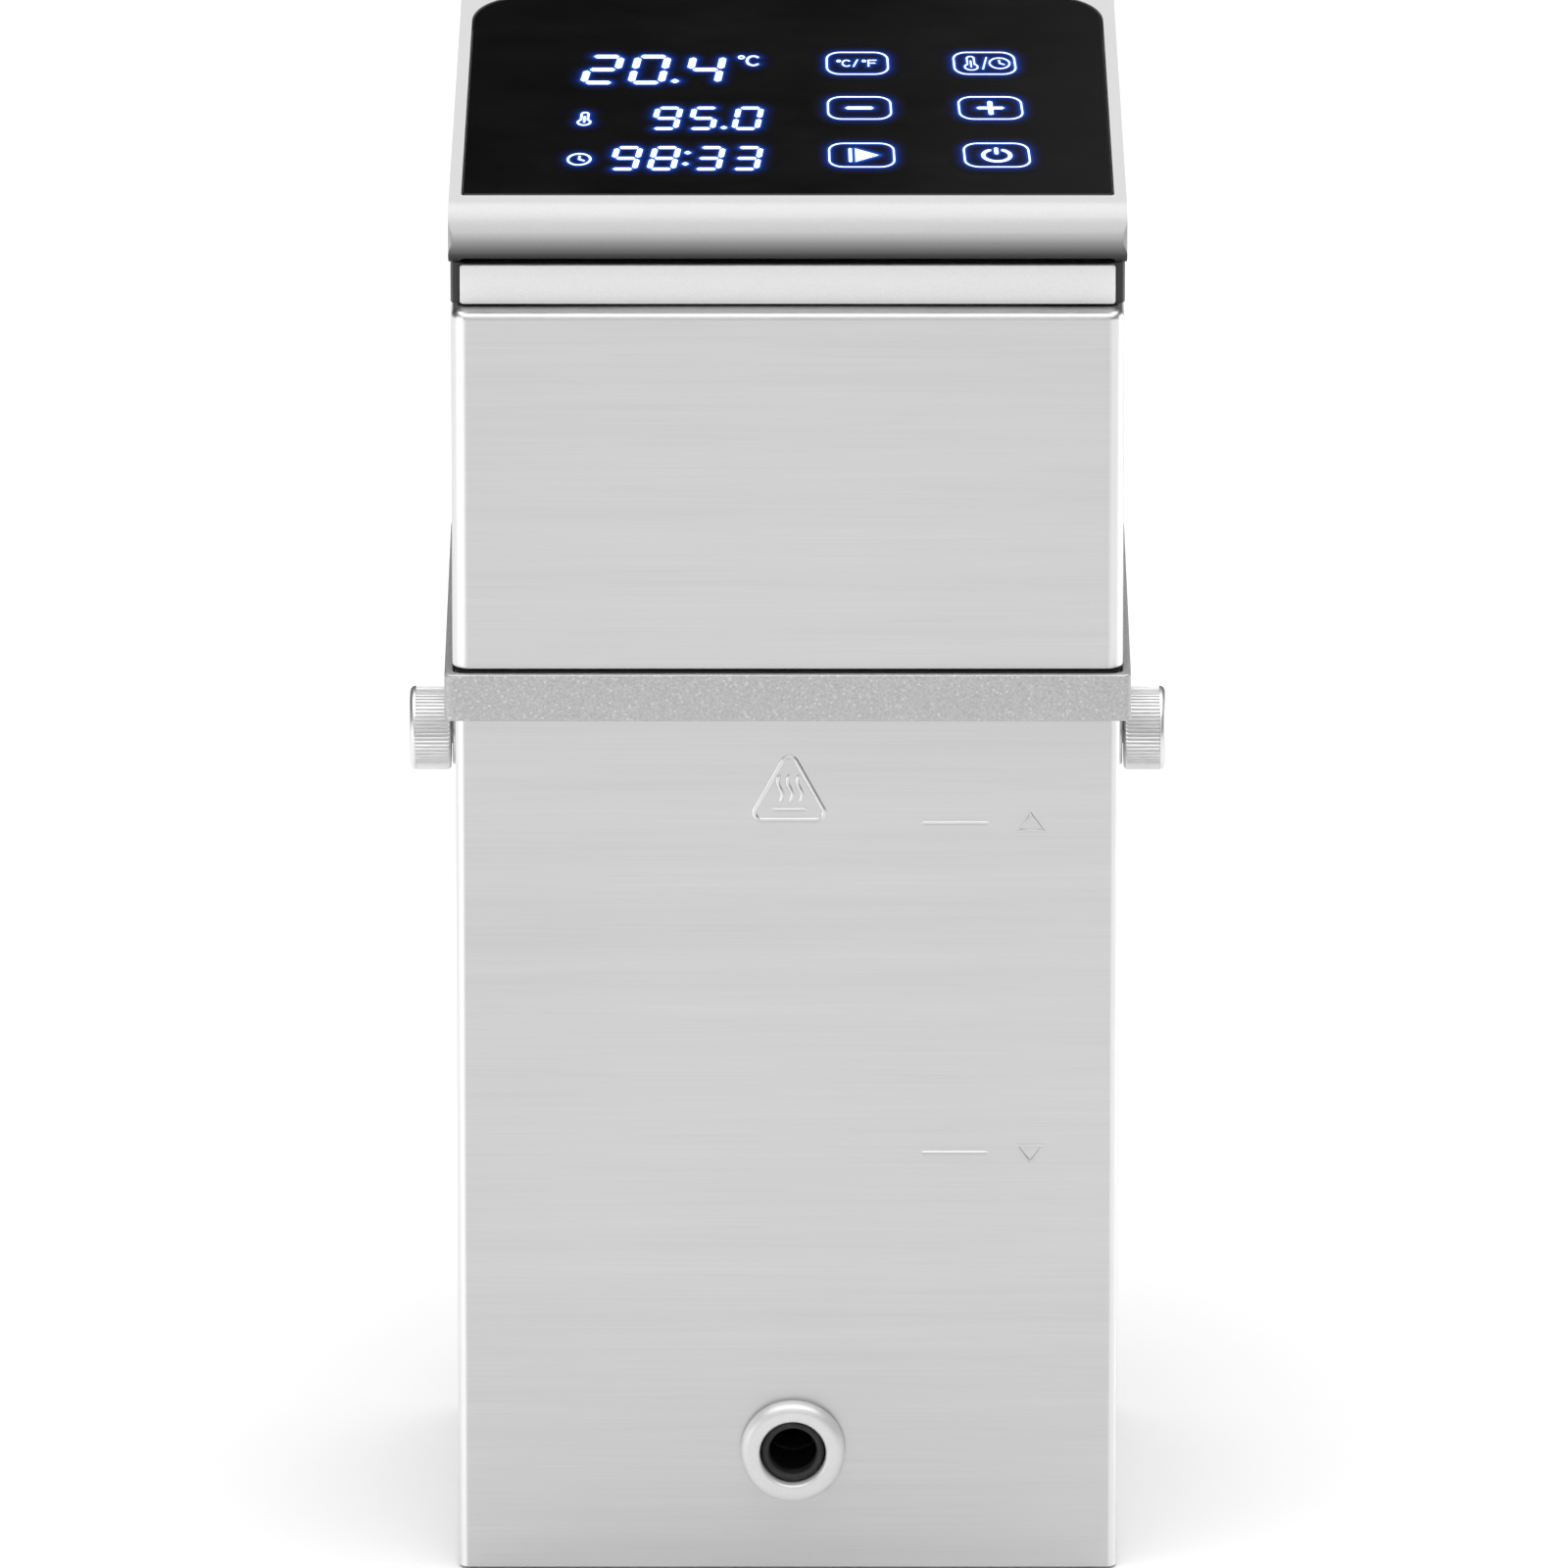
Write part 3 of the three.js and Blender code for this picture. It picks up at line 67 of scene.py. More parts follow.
def box(node):
    """Lowest and highest corner of a CAD node in millimetres."""
    low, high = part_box(node)
    return low / MM, high / MM


def middle(node):
    """The centre of a CAD node's box."""
    return [(low + high) / 2 for low, high in zip(*box(node))]


# ---------- outlines


def arc(cx, cy, radius, start, end, steps):
    """Points along an arc, angles in degrees."""
    angles = [math.radians(start + (end - start) * i / steps) for i in range(steps + 1)]
    return [(cx + radius * math.cos(a), cy + radius * math.sin(a)) for a in angles]


def circle(cx, cy, radius, sides=48):
    return arc(cx, cy, radius, 0, 360, sides)[:-1]


def rounded(x0, x1, y0, y1, radius, steps=8):
    return [
        *arc(x1 - radius, y1 - radius, radius, 0, 90, steps),
        *arc(x0 + radius, y1 - radius, radius, 90, 180, steps),
        *arc(x0 + radius, y0 + radius, radius, 180, 270, steps),
        *arc(x1 - radius, y0 + radius, radius, 270, 360, steps),
    ]


def polar(radii, height):
    """A ring of points at a height, with its radii at even steps of a turn."""
    angles = [2 * math.pi * i / len(radii) for i in range(len(radii))]
    return [(r * math.cos(a), r * math.sin(a), height) for r, a in zip(radii, angles)]


def centred(half_x, half_y, radius, steps=8):
    return rounded(-half_x, half_x, -half_y, half_y, radius, steps)


# ---------- frames that local shapes are drawn in


def axes(origin, x_axis, y_axis):
    """A frame with its origin and first two axes; the third completes it."""
    x, y = Vector(x_axis).normalized(), Vector(y_axis).normalized()
    z = x.cross(y)
    turned = Matrix((x, y, z)).transposed().to_4x4()
    return Matrix.Translation(Vector(origin)) @ turned


UPRIGHT = Matrix.Identity(4)


def facing_back(x, z, y=0.0):
    """Local +Z points to the rear (+Y), local +Y points up."""
    return axes((x, y, z), (-1, 0, 0), (0, 0, 1))


def facing_front(x, z, y=0.0):
    """Local +Z points to the front (-Y), local +Y points up."""
    return axes((x, y, z), (1, 0, 0), (0, 0, 1))


def facing_side(side, y, z, x=0.0):
    """Local +Z points out to the left (-1) or right (+1), local +Y points up."""
    return axes((x, y, z), (0, side, 0), (0, 0, 1))


# ---------- meshes


def linked(name, data):
    """A new object in the scene."""
    obj = bpy.data.objects.new(name, data)
    bpy.context.scene.collection.objects.link(obj)
    return obj


def mesh_object(name, points, faces, place=UPRIGHT):
    """A mesh from points in millimetres in a local frame, with its faces pointing out."""
    mesh = bpy.data.meshes.new(name)
    mesh.from_pydata([(place @ Vector(p)) * MM for p in points], [], faces)
    mesh.validate()
    made = bmesh.new()
    made.from_mesh(mesh)
    bmesh.ops.recalc_face_normals(made, faces=made.faces)
    made.to_mesh(mesh)
    made.free()
    return linked(name, mesh)


def skin(name, rings, place=UPRIGHT, closed=False):
    """A surface through rings of equally many points, capped unless it runs on from the last to the first."""
    count = len(rings[0])
    points = [p for ring in rings for p in ring]
    faces = []
    for i in range(len(rings) - (0 if closed else 1)):
        here, there = i * count, ((i + 1) % len(rings)) * count
        for j in range(count):
            k = (j + 1) % count
            faces.append((here + j, here + k, there + k, there + j))
    if not closed:
        faces.append(tuple(reversed(range(count))))
        faces.append(tuple(range(len(points) - count, len(points))))
    return mesh_object(name, points, faces, place)


def prism(name, outline, low, high, place=UPRIGHT):
    return skin(name, [[(x, y, z) for x, y in outline] for z in (low, high)], place)


def lathe(name, profile, place=UPRIGHT, sides=96, closed=False):
    """A profile of (radius, height) pairs turned about local Z. Radius 0 makes one point on the axis."""
    points, faces, rows = [], [], []
    for radius, height in profile:
        if radius < 1e-6:
            rows.append([len(points)] * sides)
            points.append((0, 0, height))
        else:
            rows.append(list(range(len(points), len(points) + sides)))
            points += [(x, y, height) for x, y in circle(0, 0, radius, sides)]
    pairs = list(zip(rows, rows[1:]))
    if closed:
        pairs.append((rows[-1], rows[0]))
    for low, high in pairs:
        for j in range(sides):
            k = (j + 1) % sides
            corners = [low[j], low[k], high[k], high[j]]
            face = [c for i, c in enumerate(corners) if c not in corners[:i]]
            if len(face) > 2:
                faces.append(tuple(face))
    return mesh_object(name, points, faces, place)


def apply_modifiers(obj):
    graph = bpy.context.evaluated_depsgraph_get()
    mesh = bpy.data.meshes.new_from_object(obj.evaluated_get(graph))
    obj.modifiers.clear()
    obj.data = mesh
    return obj


def combine(obj, other, operation):
    modifier = obj.modifiers.new("combine", "BOOLEAN")
    modifier.operation = operation
    modifier.solver = "EXACT"
    modifier.object = other
    apply_modifiers(obj)
    bpy.data.objects.remove(other)
    return obj


def cut(obj, *others):
    for other in others:
        combine(obj, other, "DIFFERENCE")
    return obj


def join(obj, *others):
    for other in others:
        combine(obj, other, "UNION")
    return obj


def round_edges(obj, width, segments=2, angle=35):
    modifier = obj.modifiers.new("edges", "BEVEL")
    modifier.width = width * MM
    modifier.segments = segments
    modifier.limit_method = "ANGLE"
    modifier.angle_limit = math.radians(angle)
    modifier.miter_outer = "MITER_ARC"
    return apply_modifiers(obj)


def shade(obj, angle=32):
    """Smooth shading up to an angle, with the large faces kept flat."""
    mesh = obj.data
    for polygon in mesh.polygons:
        polygon.use_smooth = True
    mesh.set_sharp_from_angle(angle=math.radians(angle))
    modifier = obj.modifiers.new("normals", "WEIGHTED_NORMAL")
    modifier.keep_sharp = True
    modifier.mode = "FACE_AREA_WITH_ANGLE"
    modifier.weight = 80
    return apply_modifiers(obj)


def added(obj, material, body, angle=32):
    """obj is a piece that rides on a body, with the material given."""
    shade(obj, angle)
    obj.data.materials.clear()
    obj.data.materials.append(material)
    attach(obj, body)
    return obj


def stand_in(obj, material, node, angle=32):
    """obj takes the place and body of a CAD node."""
    added(obj, material, BODY_OF[node], angle)
    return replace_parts(obj, node)


def cad_copy(node, flat_angle, quads=False):
    """A copy of a CAD node's mesh with its flat faces whole, or paired into quads."""
    mesh = frame["nodes"][node].data.copy()
    mesh.materials.clear()
    made = bmesh.new()
    made.from_mesh(mesh)
    bmesh.ops.remove_doubles(made, verts=made.verts, dist=SAME_POINT)
    limit = math.radians(flat_angle)
    bmesh.ops.dissolve_limit(made, angle_limit=limit, verts=made.verts, edges=made.edges)
    if quads:
        limits = {f"angle_{what}_threshold": math.radians(60) for what in ("face", "shape")}
        bmesh.ops.join_triangles(made, faces=made.faces, **limits)
    made.to_mesh(mesh)
    made.free()
    return linked(f"{node}_detail", mesh)


def refined(node, material, edge, segments=2):
    """A CAD node with its edges rounded, for pieces whose CAD shape is already right."""
    obj = cad_copy(node, 0.5)
    attributes = obj.data.attributes
    if "custom_normal" in attributes:
        attributes.remove(attributes["custom_normal"])
    round_edges(obj, edge, segments)
    return stand_in(obj, material, node)


# ---------- materials


class Surface:
    """A Principled material and short calls for its procedural detail."""

    def __init__(self, name, color, roughness, metallic=0.0):
        self.material = bpy.data.materials.new(name)
        self.material.use_nodes = True
        self.tree = self.material.node_tree
        self.shader = self.tree.nodes["Principled BSDF"]
        self.set("Base Color", (*color, 1))
        self.set("Roughness", roughness)
        self.set("Metallic", metallic)
        self.place = self.add("TexCoord", {}).outputs["Object"]

    def feed(self, value, socket):
        """Gives a socket its value, or links it when the value is another node's output."""
        if isinstance(value, bpy.types.NodeSocket):
            self.tree.links.new(value, socket)
        else:
            socket.default_value = value

    def set(self, name, value):
        self.feed(value, self.shader.inputs[name])

    def add(self, kind, inputs, **settings):
        """A shader node with its settings and inputs."""
        node = self.tree.nodes.new(f"ShaderNode{kind}")
        for setting, value in settings.items():
            setattr(node, setting, value)
        for name, value in inputs.items():
            self.feed(value, node.inputs[name])
        return node

    def noise(self, cycles, detail=3.0, roughness=0.55):
        """Noise with its cycles per metre along X, Y and Z, or the same for all three."""
        scale = cycles if isinstance(cycles, tuple) else (cycles,) * 3
        scaled = self.add("Mapping", {"Vector": self.place, "Scale": scale}).outputs["Vector"]
        inputs = {"Vector": scaled, "Scale": 1.0, "Detail": detail, "Roughness": roughness}
        return self.add("TexNoise", inputs).outputs["Fac"]

    def spots(self, cycles):
        """Distance to scattered points, about so many per metre."""
        return self.add("TexVoronoi", {"Vector": self.place, "Scale": cycles}).outputs["Distance"]

    def ranged(self, source, source_low, source_high, low, high):
        inputs = {
            "Value": source,
            "From Min": source_low,
            "From Max": source_high,
            "To Min": low,
            "To Max": high,
        }
        return self.add("MapRange", inputs).outputs["Result"]

    def math(self, operation, *values):
        return self.add("Math", dict(enumerate(values)), operation=operation).outputs["Value"]

    def ramp(self, source, first, last, *between):
        """Colours along a source; each stop is (place, colour)."""
        node = self.add("ValToRGB", {"Fac": source})
        stops = node.color_ramp.elements
        for stop, (place, color) in zip(stops, (first, last)):
            stop.position = place
            stop.color = (*color, 1)
        for place, color in between:
            stops.new(place).color = (*color, 1)
        return node.outputs["Color"]

    def tint(self, source, dark, light, low=0.3, high=0.7):
        self.set("Base Color", self.ramp(source, (low, dark), (high, light)))

    def glow(self, source, strength, *stops):
        self.set("Emission Color", self.ramp(source, *stops))
        self.set("Emission Strength", strength)

    def facing(self):
        """The surface normal's X, Y and Z."""
        normal = self.add("NewGeometry", {}).outputs["Normal"]
        return self.add("SeparateXYZ", {"Vector": normal}).outputs

    def overlay(self, share, color):
        """Mixes a colour over the base colour by a share."""
        base = self.shader.inputs["Base Color"].links[0].from_socket
        mix = self.add("Mix", {"Factor": share}, data_type="RGBA")
        under, over = [socket for socket in mix.inputs if socket.type == "RGBA"]
        self.feed(base, under)
        self.feed((*color, 1), over)
        self.set("Base Color", next(socket for socket in mix.outputs if socket.type == "RGBA"))

    def paint_shade_on_front_roll(self):
        """Painted shade: fades the colour to black where the front turns to face down."""
        facing = self.facing()
        lit = self.math("POWER", self.ranged(facing["Z"], -0.8, 0.22, 0.0, 1.0), 1.5)
        front = self.ranged(facing["Y"], -0.25, -0.05, 1.0, 0.0)
        self.overlay(self.math("MULTIPLY", self.math("SUBTRACT", 1.0, lit), front), (0, 0, 0))

    def paint_highlight_on_bends(self, color):
        """Painted highlight: lightens the upright bends, which face between two sides."""
        facing = self.facing()
        product = self.math("ABSOLUTE", self.math("MULTIPLY", facing["X"], facing["Y"]))
        self.overlay(self.ranged(product, 0.12, 0.34, 0.0, 1.0), color)

    def roughen(self, source, low, high):
        self.set("Roughness", self.ranged(source, 0.25, 0.75, low, high))

    def bump(self, source, height_mm, strength=1.0):
        inputs = {"Strength": strength, "Distance": height_mm * MM, "Height": source}
        self.set("Normal", self.add("Bump", inputs).outputs["Normal"])


def grey(value):
    return (value, value, value)


def times(color, factor):
    return tuple(min(1.0, channel * factor) for channel in color)


def brushed_steel(name, tone):
    """Sheet steel brushed along its width: long fine streaks, and faint broad mottling."""
    made = Surface(name, grey(tone), 0.36, 1.0)
    made.set("Anisotropic", 0.6)
    made.set("Anisotropic Rotation", 0.25)
    fine = made.noise((24, 24, 3200), detail=4, roughness=0.7)
    broad = made.noise((9, 9, 260))
    cloud = made.noise(14, detail=2)
    streaks = made.math("MULTIPLY_ADD", fine, 0.62, made.math("MULTIPLY", broad, 0.38))
    made.tint(streaks, grey(tone * 0.93), grey(tone * 1.05))
    # Painted highlight on the rounded upright bends.
    made.paint_highlight_on_bends(grey(0.84))
    uneven = made.math("ADD", made.math("MULTIPLY", cloud, 0.5), made.math("MULTIPLY", fine, 0.5))
    made.roughen(uneven, 0.32, 0.42)
    made.bump(fine, 0.010, 0.35)
    return made.material


def satin_silver(name, tone, metallic, roughness, grain=0.35, painted_shade_below=False):
    """Metallic paint with a very fine flake; the last flag paints shade onto the front where it turns to face
    down.
    """
    made = Surface(name, grey(tone), roughness, metallic)
    flake = made.noise(5200, detail=2)
    made.tint(flake, grey(tone * 0.95), grey(tone * 1.03), 0.35, 0.65)
    made.roughen(made.noise(18), roughness * 0.9, roughness * 1.12)
    made.bump(flake, 0.004, grain)
    if painted_shade_below:
        # Painted shade on the front roll's underside.
        made.paint_shade_on_front_roll()
        made.set("Specular IOR Level", 0.3)
    return made.material


def cast_metal(name, tone, rough=0.55, grain=1.0):
    """Blasted casting: matt grain with scattered bright specks and small pits."""
    made = Surface(name, grey(tone), rough, 0.85)
    grit = made.noise(2300, detail=5, roughness=0.72)
    bright = made.ranged(made.spots(900), 0.1, 0.3, 1.0, 0.0)
    mixed = made.math("MULTIPLY_ADD", bright, 0.22, grit)
    made.tint(mixed, grey(tone * 0.84), grey(tone * 1.45), 0.32, 0.78)
    made.roughen(grit, rough * 0.82, rough * 1.15)
    made.bump(mixed, 0.045 * grain, 0.7)
    return made.material


def machined_metal(name, color, roughness, lines=900):
    """Bare metal with light tool marks and slight tarnish."""
    made = Surface(name, color, roughness, 1.0)
    marks = made.noise(lines, roughness=0.65)
    made.tint(made.noise(60, detail=4), times(color, 0.86), times(color, 1.06))
    made.roughen(marks, roughness * 0.8, roughness * 1.25)
    made.bump(marks, 0.006, 0.4)
    return made.material


def moulded(name, color, roughness, grain=0.02, cycles=1500):
    """Spark-eroded moulded plastic."""
    made = Surface(name, color, roughness)
    texture = made.noise(cycles)
    made.tint(made.noise(45), times(color, 0.8), times(color, 1.25))
    made.roughen(texture, roughness * 0.85, roughness * 1.2)
    made.bump(texture, grain, 0.6)
    return made.material


def rubber(name):
    """Black rubber with fine pores and paler dust."""
    made = Surface(name, (0.018, 0.018, 0.019), 0.62)
    dust = made.noise(260, detail=5, roughness=0.7)
    pores = made.noise(1900)
    made.tint(dust, (0.012, 0.012, 0.013), (0.032, 0.032, 0.034), 0.35, 0.8)
    made.roughen(pores, 0.52, 0.75)
    made.bump(pores, 0.03, 0.5)
    return made.material


PANEL_BLACK = (0.0015, 0.0015, 0.0018)
PANEL_ROUGHNESS, PANEL_IOR = 0.17, 1.42


def black_glass(name):
    """Back-painted glass: deep black, glossy, with very faint handling marks in the gloss."""
    made = Surface(name, PANEL_BLACK, PANEL_ROUGHNESS)
    made.set("IOR", PANEL_IOR)
    smear = made.noise((40, 90, 40), detail=4, roughness=0.6)
    made.tint(smear, (0.0010, 0.0010, 0.0013), (0.0022, 0.0022, 0.0027))
    made.roughen(smear, 0.14, 0.19)
    return made.material


def circuit_resin(name):
    """Green solder resist with paler copper tracks under it."""
    made = Surface(name, (0.01, 0.09, 0.035), 0.42)
    tracks = made.noise((420, 60, 420), detail=1)
    steps = made.math("PINGPONG", made.math("MULTIPLY", tracks, 9.0), 0.5)
    made.tint(steps, (0.008, 0.06, 0.025), (0.03, 0.17, 0.07), 0.2, 0.3)
    made.roughen(tracks, 0.35, 0.5)
    made.bump(steps, 0.03, 0.5)
    return made.material


def lit_strokes(name):
    """The lit legends: white light with a cold edge to it."""
    made = Surface(name, (0.6, 0.75, 1.0), 0.4)
    made.glow(made.noise(900, detail=2), 1.25, (0.2, (0.55, 0.74, 1.0)), (0.6, (0.86, 0.95, 1.0)))
    return made.material


def glow_film(name):
    """Blue light scattered in the glass round the legends; its strength is in the mesh's "glow"."""
    made = Surface(name, PANEL_BLACK, PANEL_ROUGHNESS)
    made.set("IOR", PANEL_IOR)
    share = made.add("Attribute", {}, attribute_name="glow").outputs["Fac"]
    made.glow(share, 0.8, (0, (0, 0, 0)), (1, (0.02, 0.16, 1.0)), (0.45, (0.0, 0.022, 0.2)))
    return made.material


# ---------- the finishes

STEEL = brushed_steel("brushed_steel", 0.61)
SHELL_STEEL = brushed_steel("brushed_steel_shell", 0.62)
# The head's silver, with painted shade where its front roll faces down.
SILVER = satin_silver("silver_head", 0.57, 0.1, 0.42, painted_shade_below=True)
BRIGHT = satin_silver("bright_band", 0.88, 0.2, 0.3, 0.2)
RING_METAL = satin_silver("outlet_satin", 0.72, 0.35, 0.36, 0.15)
CAST = cast_metal("cast_grey", 0.47)
DECK_METAL = cast_metal("deck_cast", 0.5, 0.5, 0.6)
KNOB_METAL = machined_metal("knob_alloy", grey(0.8), 0.4, (300, 2400, 2400))
HARDWARE = machined_metal("hardware_steel", grey(0.6), 0.3)
PUMP_METAL = machined_metal("pump_steel", grey(0.6), 0.32, (300, 300, 2600))
HEATER_METAL = machined_metal("heater_steel", (0.52, 0.5, 0.47), 0.34, 1200)
BRASS = machined_metal("brass", (0.72, 0.52, 0.24), 0.32)
SINK_METAL = machined_metal("sink_alloy", grey(0.62), 0.38, (200, 200, 2400))
NECK_BLACK = moulded("neck_plastic", (0.018, 0.018, 0.019), 0.42)
KNOB_BLACK = moulded("knob_plastic", (0.022, 0.022, 0.023), 0.5, 0.04, 1100)
SOCKET_BLACK = moulded("socket_plastic", (0.016, 0.016, 0.017), 0.38)
FAN_BLACK = moulded("fan_plastic", (0.03, 0.03, 0.032), 0.45)
RUBBER = rubber("black_rubber")
GLASS = black_glass("panel_glass")
MOTOR_PAINT = moulded("motor_enamel", (0.05, 0.05, 0.055), 0.35, 0.01, 800)
BOARD = circuit_resin("circuit_board")
MODULE = moulded("display_case", (0.06, 0.062, 0.068), 0.4)

# ---------- sleeve and base


OUTLET_BORE = 6.3


def make_sleeve():
    low, high = box("sleeve")
    wall, edge = 1.2, 2.0
    half_x, half_y = high.x, high.y
    outline = centred(half_x, half_y, edge)
    inner = centred(half_x - wall, half_y - wall, edge - wall)
    loops = [
        [(x, y, low.z) for x, y in outline],
        [(x, y, high.z) for x, y in outline],
        [(x, y, high.z) for x, y in inner],
        [(x, y, low.z) for x, y in inner],
    ]
    sleeve = skin("sleeve_detail", loops, closed=True)
    axis, past = middle("thumb_knob_right")[2], 2
    notch_half, notch_top = 3.5, high.z + past
    notch = [*arc(0, axis, notch_half, 180, 360, 20), (notch_half, notch_top), (-notch_half, notch_top)]
    across = axes((-half_x - past, 0, 0), (0, 1, 0), (0, 0, 1))
    cut(sleeve, prism("notch", notch, 0, 2 * (half_x + past), across))
    x, _, z = middle("outlet_ring")
    cut(sleeve, prism("outlet_hole", circle(0, 0, OUTLET_BORE), 0, 10, facing_front(x, z, -half_y + 5)))
    round_edges(sleeve, 0.22)
    tab_size, tab_low, tab_high, hole = 9.0, 1.8, 3.8, 1.8
    inner_x, inner_y = half_x - wall, half_y - wall
    tab_x, tab_y = inner_x - tab_size / 2 - 0.8, inner_y - tab_size / 2 - 0.8
    for side in (-1, 1):
        for back in (-1, 1):
            xs = sorted((side * (inner_x - tab_size), side * (inner_x + wall / 2)))
            ys = sorted((back * (inner_y - tab_size), back * (inner_y + wall / 2)))
            tab = prism("tab", rounded(*xs, *ys, 0.6, 3), tab_low, tab_high)
            cut(tab, prism("tab_hole", circle(side * tab_x, back * tab_y, hole, 24), 0, 8))
            join(sleeve, tab)
    stand_in(sleeve, STEEL, "sleeve")


def ridge(name, points, width, height, front, closed=False):
    """A low raised line on the front face: a rounded ridge along points given as (x, z)."""
    steps, buried, end_share = 6, 0.1, 0.35
    last = len(points) - 1
    rings = []
    for i, (x, z) in enumerate(points):
        before = points[i - 1] if i or closed else points[i]
        after = points[(i + 1) % len(points)] if i < last or closed else points[i]
        dx, dz = after[0] - before[0], after[1] - before[1]
        length = math.hypot(dx, dz) or 1
        nx, nz = -dz / length, dx / length
        taper = 1.0 if closed or 0 < i < last else end_share
        half = width / 2 * taper
        ring = []
        for j in range(steps + 1):
            t = -1 + 2 * j / steps
            rise = height * taper * (1 - t * t) ** 0.8
            ring.append((x + nx * t * half, front - rise, z + nz * t * half))
        for side in (1, -1):
            ring.append((x + nx * side * half, front + buried, z + nz * side * half))
        rings.append(ring)
    return skin(name, rings, closed=closed)


def straight(x0, x1, z):
    """Points of a level line that tapers out over its ends."""
    end = 0.5
    return [(x0, z), (x0 + end, z), (x1 - end, z), (x1, z)]


def rounded_triangle(half_base, bottom, top, radius):
    """The outline of an upright triangle with rounded corners."""
    apex, right, left = Vector((0, top)), Vector((half_base, bottom)), Vector((-half_base, bottom))
    outline = []
    for corner, before, after in ((apex, left, right), (right, apex, left), (left, right, apex)):
        u, v = (before - corner).normalized(), (after - corner).normalized()
        half_angle = math.acos(max(-1, min(1, u.dot(v)))) / 2
        reach = radius / math.tan(half_angle)
        centre = corner + (u + v).normalized() * (radius / math.sin(half_angle))
        from_centre = [corner + side * reach - centre for side in (u, v)]
        start, end = (math.degrees(math.atan2(way.y, way.x)) for way in from_centre)
        while end > start:
            end -= 360
        outline += arc(centre.x, centre.y, radius, start, end, 7)
    return outline


def make_sleeve_marks():
    """The hot-surface pictogram and the two water levels, raised on the front of the sleeve."""
    low, high = box("sleeve")
    front, top, centre = low.y, high.z, 0.3
    frame_width, line_width, level_width, rise = 0.9, 0.75, 0.8, 0.3
    triangle = [(centre + x, z) for x, z in rounded_triangle(7.6, top - 22.8, top - 8.6, 1.5)]
    marks = [ridge("triangle", triangle, frame_width, rise, front, closed=True)]
    wave_low, wave_height, sway, steps = top - 19.2, 5.5, 0.45, 14
    for x in (-1.75, 0.1, 1.95):
        turns = [i / steps for i in range(steps + 1)]
        wave = [(centre + x + sway * math.sin(2 * math.pi * t), wave_low + wave_height * t) for t in turns]
        marks.append(ridge("wave", wave, line_width, rise, front))
    bar = straight(centre - 3.2, centre + 3.2, top - 20.7)
    marks.append(ridge("bar", bar, line_width, rise, front))
    level_left, level_right, arrow_x, arrow_half = 25.3, 38.1, 46, 2.4
    for level, tip in ((top - 23.4, 1.8), (top - 89.3, -1.8)):
        marks.append(ridge("level", straight(level_left, level_right, level), level_width, rise, front))
        foot = level - tip * 0.8
        arrow = [(arrow_x - arrow_half, foot), (arrow_x, level + tip), (arrow_x + arrow_half, foot)]
        marks.append(ridge("arrow", arrow, line_width, rise, front, closed=True))
    make_one("sleeve_marks", marks, STEEL, "sleeve_unit", 50)


def make_one(name, pieces, material, body, angle):
    """Joins pieces that don't touch into one object."""
    whole = bmesh.new()
    for piece in pieces:
        whole.from_mesh(piece.data)
        bpy.data.objects.remove(piece)
    mesh = bpy.data.meshes.new(name)
    whole.to_mesh(mesh)
    whole.free()
    return added(linked(name, mesh), material, body, angle)


def make_outlet():
    x, _, z = middle("outlet_ring")
    low, high = box("outlet_ring")
    outer, depth, shoulder, lip = (high.x - low.x) / 2, high.y - low.y, 1.9, 0.7
    ring = [
        (OUTLET_BORE, 0),
        (outer - 0.2, 0),
        (outer, 0.25),
        *arc(outer - shoulder, depth - shoulder, shoulder, 0, 90, 12),
        *arc(OUTLET_BORE + lip, depth - lip, lip, 90, 180, 6),
    ]
    ring = lathe("outlet_ring_detail", ring, facing_front(x, z, high.y), closed=True)
    stand_in(ring, RING_METAL, "outlet_ring")
    low, high = box("outlet_liner")
    outer, depth, bore = (high.x - low.x) / 2, high.y - low.y, 4.55
    lip = (outer - bore) / 2
    liner = [(bore, 0), (outer, 0), *arc(bore + lip, depth - lip, lip, 0, 180, 12)]
    liner = lathe("outlet_liner_detail", liner, facing_front(x, z, high.y), closed=True)
    stand_in(liner, RUBBER, "outlet_liner")
    refined("outlet_duct", RUBBER, 0.4)


def cross_recess(place, reach, depth):
    """A cutter for a cross-head screw, below local Z 0."""
    half = 0.275
    arms = (rounded(-x, x, -y, y, 0.1, 2) for x, y in ((reach, half), (half, reach)))
    return join(*[prism("arm", arm, -depth, 1, place) for arm in arms])


def make_base_screws():
    for node in [n for n in SLOT_OF if n.startswith("base_screw")]:
        low, high = box(node)
        x, y, _ = middle(node)
        place = axes((x, y, low.z), (1, 0, 0), (0, -1, 0))
        head, shank, end = (high.x - low.x) / 2, 1.3, low.z - high.z
        profile = [(0, 0), (head - 0.2, 0), (head, -0.15), (head, -0.3)]
        profile += [(shank, -1.4), (shank, end), (0, end)]
        screw = lathe(f"{node}_detail", profile, place, 40)
        cut(screw, cross_recess(place, 1.5, 0.7))
        stand_in(screw, HARDWARE, node)


def make_lower_body():
    make_sleeve()
    make_sleeve_marks()
    make_outlet()
    refined("base_plate", STEEL, 0.18)
    make_base_screws()


# ---------- pump, heater and probes


def turned_node(node, profile_of, material, sides=96):
    """A node that is round about its own upright axis."""
    x, y, _ = middle(node)
    profile = profile_of(*box(node))
    place = axes((x, y, 0), (1, 0, 0), (0, 1, 0))
    obj = lathe(f"{node}_detail", profile, place, sides, closed=profile[0][0] > 0)
    return stand_in(obj, material, node)


def rod_end(radius, height, chamfer):
    """The upper end of a rod with a chamfer."""
    return [(radius, height - chamfer), (radius - chamfer, height), (0, height)]


def pump_lid(low, high):
    inlet, outer, edge = 8, high.x, 0.5
    return [
        (inlet, low.z + 0.4),
        (inlet + 0.4, low.z),
        (outer - edge, low.z),
        (outer, low.z + edge),
        (outer, high.z),
        (inlet, high.z),
    ]


